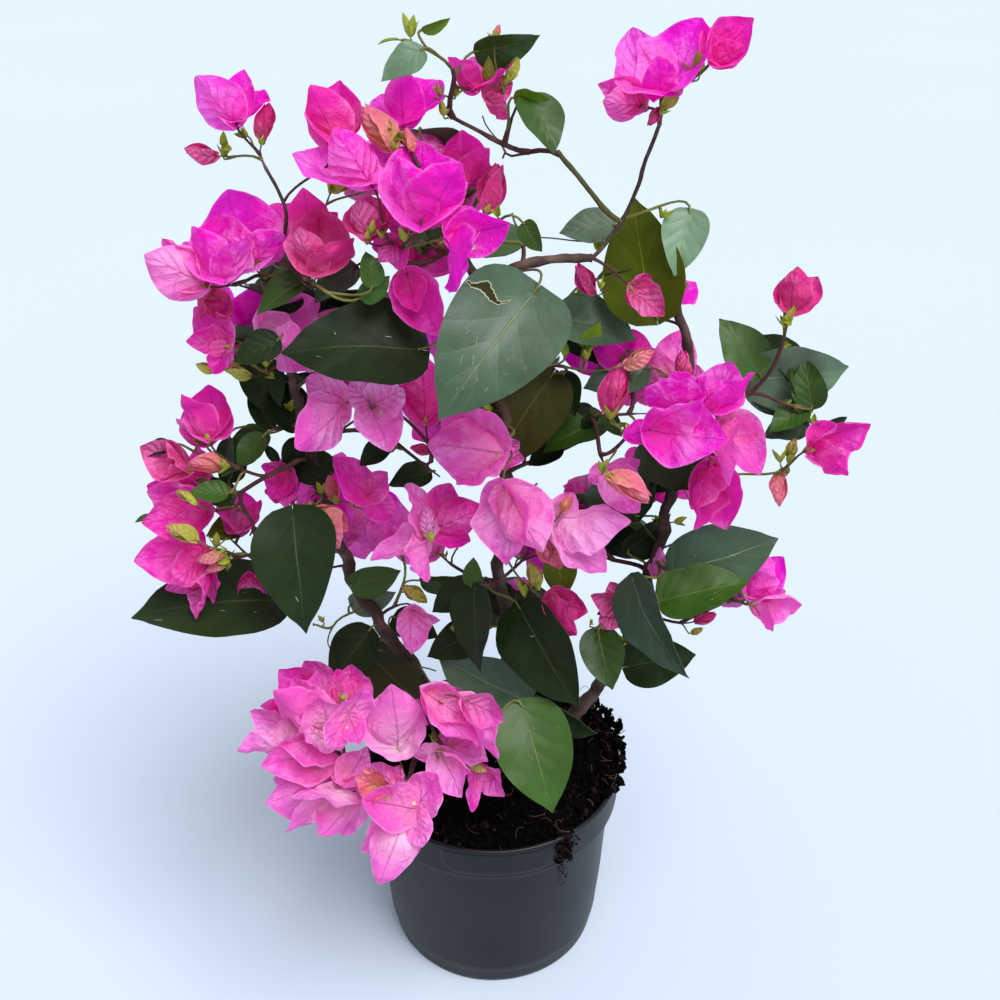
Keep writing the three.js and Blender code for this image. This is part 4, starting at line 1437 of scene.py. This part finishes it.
# how many more leaves, blooms, buds and tufts the rule adds, by what a mass holds
filling = {
    "bloom_": {"leaf": 0, "bloom": 0, "bud": 0, "tuft": 2},
    "leaf_": {"leaf": 0, "bloom": 0, "bud": 0, "tuft": 0},
    "leaves_": {"leaf": 1, "bloom": 0, "bud": 0, "tuft": 3},
    "tip_": {"leaf": 0, "bloom": 0, "bud": 0, "tuft": 1},
    "back_crown": {"leaf": 8, "bloom": 8, "bud": 4, "tuft": 4},
    "back_left_upper": {"leaf": 13, "bloom": 5, "bud": 3, "tuft": 4},
    "back_right_upper": {"leaf": 8, "bloom": 8, "bud": 4, "tuft": 4},
    "back_centre": {"leaf": 17, "bloom": 6, "bud": 3, "tuft": 4},
    "back_left_low": {"leaf": 10, "bloom": 8, "bud": 4, "tuft": 4},
    "back_right_low": {"leaf": 14, "bloom": 5, "bud": 3, "tuft": 4},
    "back_low": {"leaf": 15, "bloom": 5, "bud": 3, "tuft": 4},
}
# Where the crown is open to the sky as seen from the camera: x and z in the fan's plane and the clear
# radius, metres. A helper outside this file worked out the places, and the radii were set by hand.
openings = [
    (0.170, 0.455, 0.012), (0.145, 0.340, 0.014), (0.115, 0.440, 0.009), (0.185, 0.430, 0.008),
    (0.175, 0.475, 0.010), (0.055, 0.520, 0.008), (0.080, 0.455, 0.008), (0.030, 0.400, 0.008),
    (0.045, 0.375, 0.007), (0.105, 0.340, 0.007), (-0.080, 0.310, 0.012), (-0.075, 0.390, 0.012),
    (-0.015, 0.320, 0.008), (-0.025, 0.295, 0.007), (-0.120, 0.415, 0.008), (-0.030, 0.470, 0.008),
    (-0.060, 0.355, 0.006), (-0.135, 0.230, 0.008),
]
fillRule = {
    "tries": 160,
    "room": {"bloom": 0.019, "leaf": 0.019, "bud": 0.008, "tuft": 0.008},  # least way to a neighbour
    "clear": {"bloom": 0.035, "leaf": 0.05, "bud": 0.035, "tuft": 0.035},  # size that keeps off the openings
    "reach": {"bloom": 0.42, "bud": 0.45, "leaf": 0.5, "tuft": 0.1},  # from foot to middle, share of the size
}
masses = sorted(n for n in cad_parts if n.startswith(("bloom", "leaf", "leaves", "tip", "back")))
frontMasses = [n for n in masses if not n.startswith("back")]


def spread(axis, opened, size, rng):
    # three bracts evenly round an axis, opened from it by an angle
    ahead = unit(np.cross(axis, rng.normal(size=3)))
    other = np.cross(axis, ahead)
    bracts = []
    for k in range(3):
        turn = math.radians(120 * k + rng.normal(0, 5))
        tilt = math.radians(opened + rng.normal(0, 0.08 * opened))
        radial = math.cos(turn) * ahead + math.sin(turn) * other
        bracts.append((math.cos(tilt) * axis + math.sin(tilt) * radial, size * rng.uniform(0.9, 1.05), 0))
    return bracts


def addBloom(base, axis, item, rng):
    small = item["kind"] == "bud"
    starred = int(rng.integers(3))
    for k, (along, size, roll) in enumerate(item["bracts"]):
        away = math.degrees(math.acos(np.clip(along @ axis, -1, 1)))
        radial = along - axis * (along @ axis)
        if not small:
            # a bract before or behind its bloom's axis shows its broad side
            ahead = float(radial @ faceOut)
            broad = (2.0 * ahead + math.copysign(0.15, ahead)) * (1 - abs(axis @ faceOut))
            radial = radial + faceOut * broad
        bow = 32 if small else float(np.interp(away, [10, 30, 50, 70], [28, 20, 6, -8])) + rng.normal(0, 4)
        cup = 1.7 if small else float(np.interp(away, [10, 45], [1.5, 0.6])) * rng.uniform(0.8, 1.3)
        frame3 = frameOf(along, -radial, roll + rng.normal(0, 5))
        chance = (rng.uniform(), rng.uniform())
        shape = budShape if small else bractShape
        addBract(bractHeaps[item["tint"]], base + unit(radial) * size * 0.015, frame3, shape, size, rng,
                 (-bow, bow), rng.normal(0, 9), cup, chance)
        if small:
            continue
        # the small flower's tube rises from the bract's midrib
        tall = size * rng.uniform(0.34, 0.46)
        lean = unit(axis * 0.75 + along * 0.45 + rng.normal(size=3) * 0.06)
        path = base + np.linspace(0.04, 1, 7)[:, None] * tall * lean - unit(radial) * 0.0012
        radii = size / 40 * np.array([0.6, 0.75, 0.95, 1.0, 0.8, 0.72, 0.95]) * 0.001
        tubeHeap.grid(tube(path, radii, 7), wrap=True, chance=chance)
        if away > 40 and k == starred:
            addStar(path[-1], lean, size * 0.06, rng)


def addStar(at, way, size, rng):
    # five cream lobes on the mouth of a tube
    lobes = 10
    turn = np.arange(lobes) * 2 * math.pi / lobes + rng.uniform(0, 1)
    reach = np.where(np.arange(lobes) % 2 == 0, 1.0, 0.55) * size
    one = unit(np.cross(way, [0.2, 0.5, 0.8]))
    two = np.cross(way, one)
    flat = np.cos(turn)[:, None] * one + np.sin(turn)[:, None] * two
    rings = np.array([at + flat * reach[:, None] * part + way * size * 0.45 * part**2
                      for part in (0.15, 0.6, 1.0)])
    starHeap.grid(rings, wrap=True)


def addTuft(base, axis, size, rng):
    count = int(rng.integers(3, 6))
    ahead = unit(np.cross(axis, rng.normal(size=3)))
    other = np.cross(axis, ahead)
    for k in range(count):
        turn = 2 * math.pi * k / count + rng.normal(0, 0.3)
        radial = math.cos(turn) * ahead + math.sin(turn) * other
        o = math.radians(rng.uniform(25, 60))
        along = math.cos(o) * axis + math.sin(o) * radial
        inner = -math.cos(o) * radial + math.sin(o) * axis
        length = size * rng.uniform(0.8, 1.5)
        points, grain = bladeSheet(youngShape, length, rng, (0, 25), 0)
        tuftHeap.grid(points @ frameOf(along, inner).T + base, grain, (rng.uniform(), 0.5))


def grow():
    items = []
    for number, mass in enumerate(masses):
        middle, half = boxOf(mass)
        mine = []
        for k, item in enumerate(plan.get(mass, [])):
            if item["kind"] == "bloom":
                item["way"] = unit(sum(way * size for way, size, _ in item["bracts"]) / 0.03 + 0.35 * faceOut)
            mine.append((item, middle + half * np.array(item["at"]), faceOut, 100 * number + k))
        items += mine + fill(mass, number, middle, half, [foot for _, foot, *_ in mine])
    # what is nearest to the limbs grows first, so that the rest can branch from it
    late = {"twig": -1.0, "tuft": 1.0}
    ready = sorted(((late.get(item["kind"], 0) + growth.nearest(foot), key, item, foot, normal)
                    for item, foot, normal, key in items), key=lambda one: one[:2])
    for _, key, item, foot, normal in ready:
        rng = seeded(key, 5)
        kind, way, size = item["kind"], item["way"], item.get("size")
        stalk = branching["stalk"][kind]
        if kind == "tuft":
            foot = growth.beside(foot, 0.006)
        arrive = way if kind != "leaf" else unit(way + rng.normal(size=3) * 0.1 - 0.25 * normal)
        growth.reach(foot, arrive, stalk, rng, "bud" if kind == "tuft" else kind)
        if kind == "leaf":
            shape = leafShape if size > 0.015 else youngShape
            bend = rng.uniform(6, 20)
            addLeaf(leafHeaps[item["tint"]], foot, frameOf(way, normal, item["roll"]), shape, size, rng,
                    (bend, -bend), rng.normal(0, 10), rng.uniform(0.5, 1.5), item["torn"])
        elif kind == "twig":
            growth.reach(foot + way * size, way, 0.0, rng, "bud")
        elif kind == "tuft":
            addTuft(foot, way, size, rng)
        else:
            if "bracts" not in item:
                item["bracts"] = spread(way, item.get("opened", 4), size, rng)
            addBloom(foot, way, item, rng)
            if rng.uniform() < 0.45:
                addTuft(foot - way * 0.004, way, 0.006, rng)
    growth.thicken()
    for k, one in enumerate(growth.paths):
        woody = one["carried"][0] > 5 or (one["kind"] == "bloom" and k % 3)
        heap = twigHeaps["woody" if woody else "green"]
        heap.grid(tube(one["path"], one["radii"], 6), wrap=True)
    print("grown", len(items), "leaves, blooms, buds and tufts")


eye = np.array(view["at"])
frontBoxes = [boxOf(mass) for mass in frontMasses]


def behindFront(point, share=0.68):
    # whether the front masses hide this point from the camera
    ray = point - eye
    for middle, half in frontBoxes:
        start, way = (eye - middle) / (half * share), ray / (half * share)
        nearest = np.clip(-(start @ way) / (way @ way), 0, 1)
        if np.linalg.norm(start + way * nearest) < 1:
            return True
    return False


def clearOf(point, size):
    # whether something of this size leaves the openings open, as the camera sees them
    share = (-0.02 - eye[1]) / (point[1] - eye[1])
    seen = eye + (point - eye) * share
    return all(math.hypot(seen[0] - x, seen[2] - z) > radius + 0.4 * size for x, z, radius in openings)


def fill(mass, number, middle, half, taken):
    # Seeded places in the mass, apart from each other. At the back only those are taken that the front
    # masses hide and that leave the openings open.
    key = next(k for k in filling if mass.startswith(k))
    wanted, back = filling[key], mass.startswith("back")
    rng = seeded(number, 9)
    made = []
    kinds = [kind for kind in ("bloom", "leaf", "bud", "tuft") for _ in range(wanted[kind])]
    for k, kind in enumerate(kinds):
        for _ in range(fillRule["tries"]):
            way = unit(rng.normal(size=3))
            if not back:
                way[1] = abs(way[1]) * (0.2 if kind == "tuft" else 1.0) + (0.5 if kind == "leaf" else 0)
                way = unit(way)
            heart = middle + half * way * rng.uniform(0.45, 0.9)
            near = min([np.linalg.norm(heart - t) for t in taken], default=1.0)
            if near < fillRule["room"][kind]:
                continue
            if not back or clearOf(heart, fillRule["clear"][kind]) and behindFront(heart):
                break
        else:
            continue
        taken.append(heart)
        away = unit([(heart[0] - middle[0]) * 8, 1.0 if back else -0.15, 0.25])
        if kind == "leaf":
            along = unit(away * [1, 0.6, 0.4] + rng.normal(size=3) * [0.5, 0.3, 0.3] - [0, 0, 0.35])
            normal = unit(away * 0.8 + [0, 0, 0.8] + rng.normal(size=3) * 0.25)
            big = rng.uniform(38, 66) if back else rng.uniform(24, 42)
            item = leaf(0, 0, 0, 0, 0, rng.normal(0, 12), big, ["dark", "mid", "grey", "dark"][k % 4])
        else:
            along = unit(away + rng.normal(size=3) * 0.45 + [0, 0, 0.2])
            normal = faceOut
            if kind == "bloom":
                tint = ["pink", "magenta", "hot", "pink", "magenta"][int(rng.integers(5))]
                item = bud(0, 0, 0, 0, rng.uniform(31, 38), tint)
                item.update(kind="bloom", opened=rng.uniform(18, 60))
            elif kind == "bud":
                item = bud(0, 0, 0, 0, rng.uniform(14, 24), ["rose", "salmon", "young"][k % 3])
            else:
                item = tuft(0, 0, 0, rng.uniform(4, 6.5))
        item["way"] = along
        foot = heart - along * item["size"] * fillRule["reach"][kind]
        made.append((item, foot, normal, 100 * number + 50 + k))
    return made


grow()

# the joined pieces, and the masses that they stand for
bloomMasses = [n for n in masses if n.startswith(("bloom", "back"))]
leafMasses = [n for n in masses if n not in bloomMasses]
for tint, (flesh, vein, gloss, shine) in leafTints.items():
    upper = leafFinish("leaf_" + tint, flesh, vein, False, gloss, shine)
    under = leafFinish("leaf_under_" + tint, tuple((a + b) / 2 for a, b in zip(flesh, underTint[0])),
                       underTint[1], True, 0.62)
    leafHeaps[tint].build([upper, under], "leaves", leafMasses if tint == "dark" else ())
for tint, colours in bractTints.items():
    finish = bractFinish("bract_" + tint, *colours)
    bractHeaps[tint].build([finish], "bracts", bloomMasses if tint == "pink" else ())
tubeFinish = barkFinish("flower_tube", linear(140, 66, 76), linear(150, 134, 76), 0.4)
tubeHeap.build([tubeFinish], "bracts")
starHeap.build([bractFinish("flower_star", linear(252, 236, 196), linear(236, 214, 120),
                            linear(255, 246, 220), 0.2)], "bracts")
youngFinish = leafFinish("young_leaflet", linear(136, 146, 44), linear(196, 186, 92), False, 0.5)
tuftHeap.build([youngFinish], "leaves")
scarHeap.build([barkFinish("leaf_scar", linear(176, 180, 146), linear(222, 216, 184), 0.5)], "leaves")
woodyFinish = barkFinish("twig_woody", linear(84, 48, 44), linear(128, 96, 84))
twigHeaps["woody"].build([woodyFinish], "bark")
greenFinish = barkFinish("twig_green", linear(112, 112, 52), linear(150, 152, 84))
twigHeaps["green"].build([greenFinish], "green_shoot")

print("triangles in all", sum(tally))
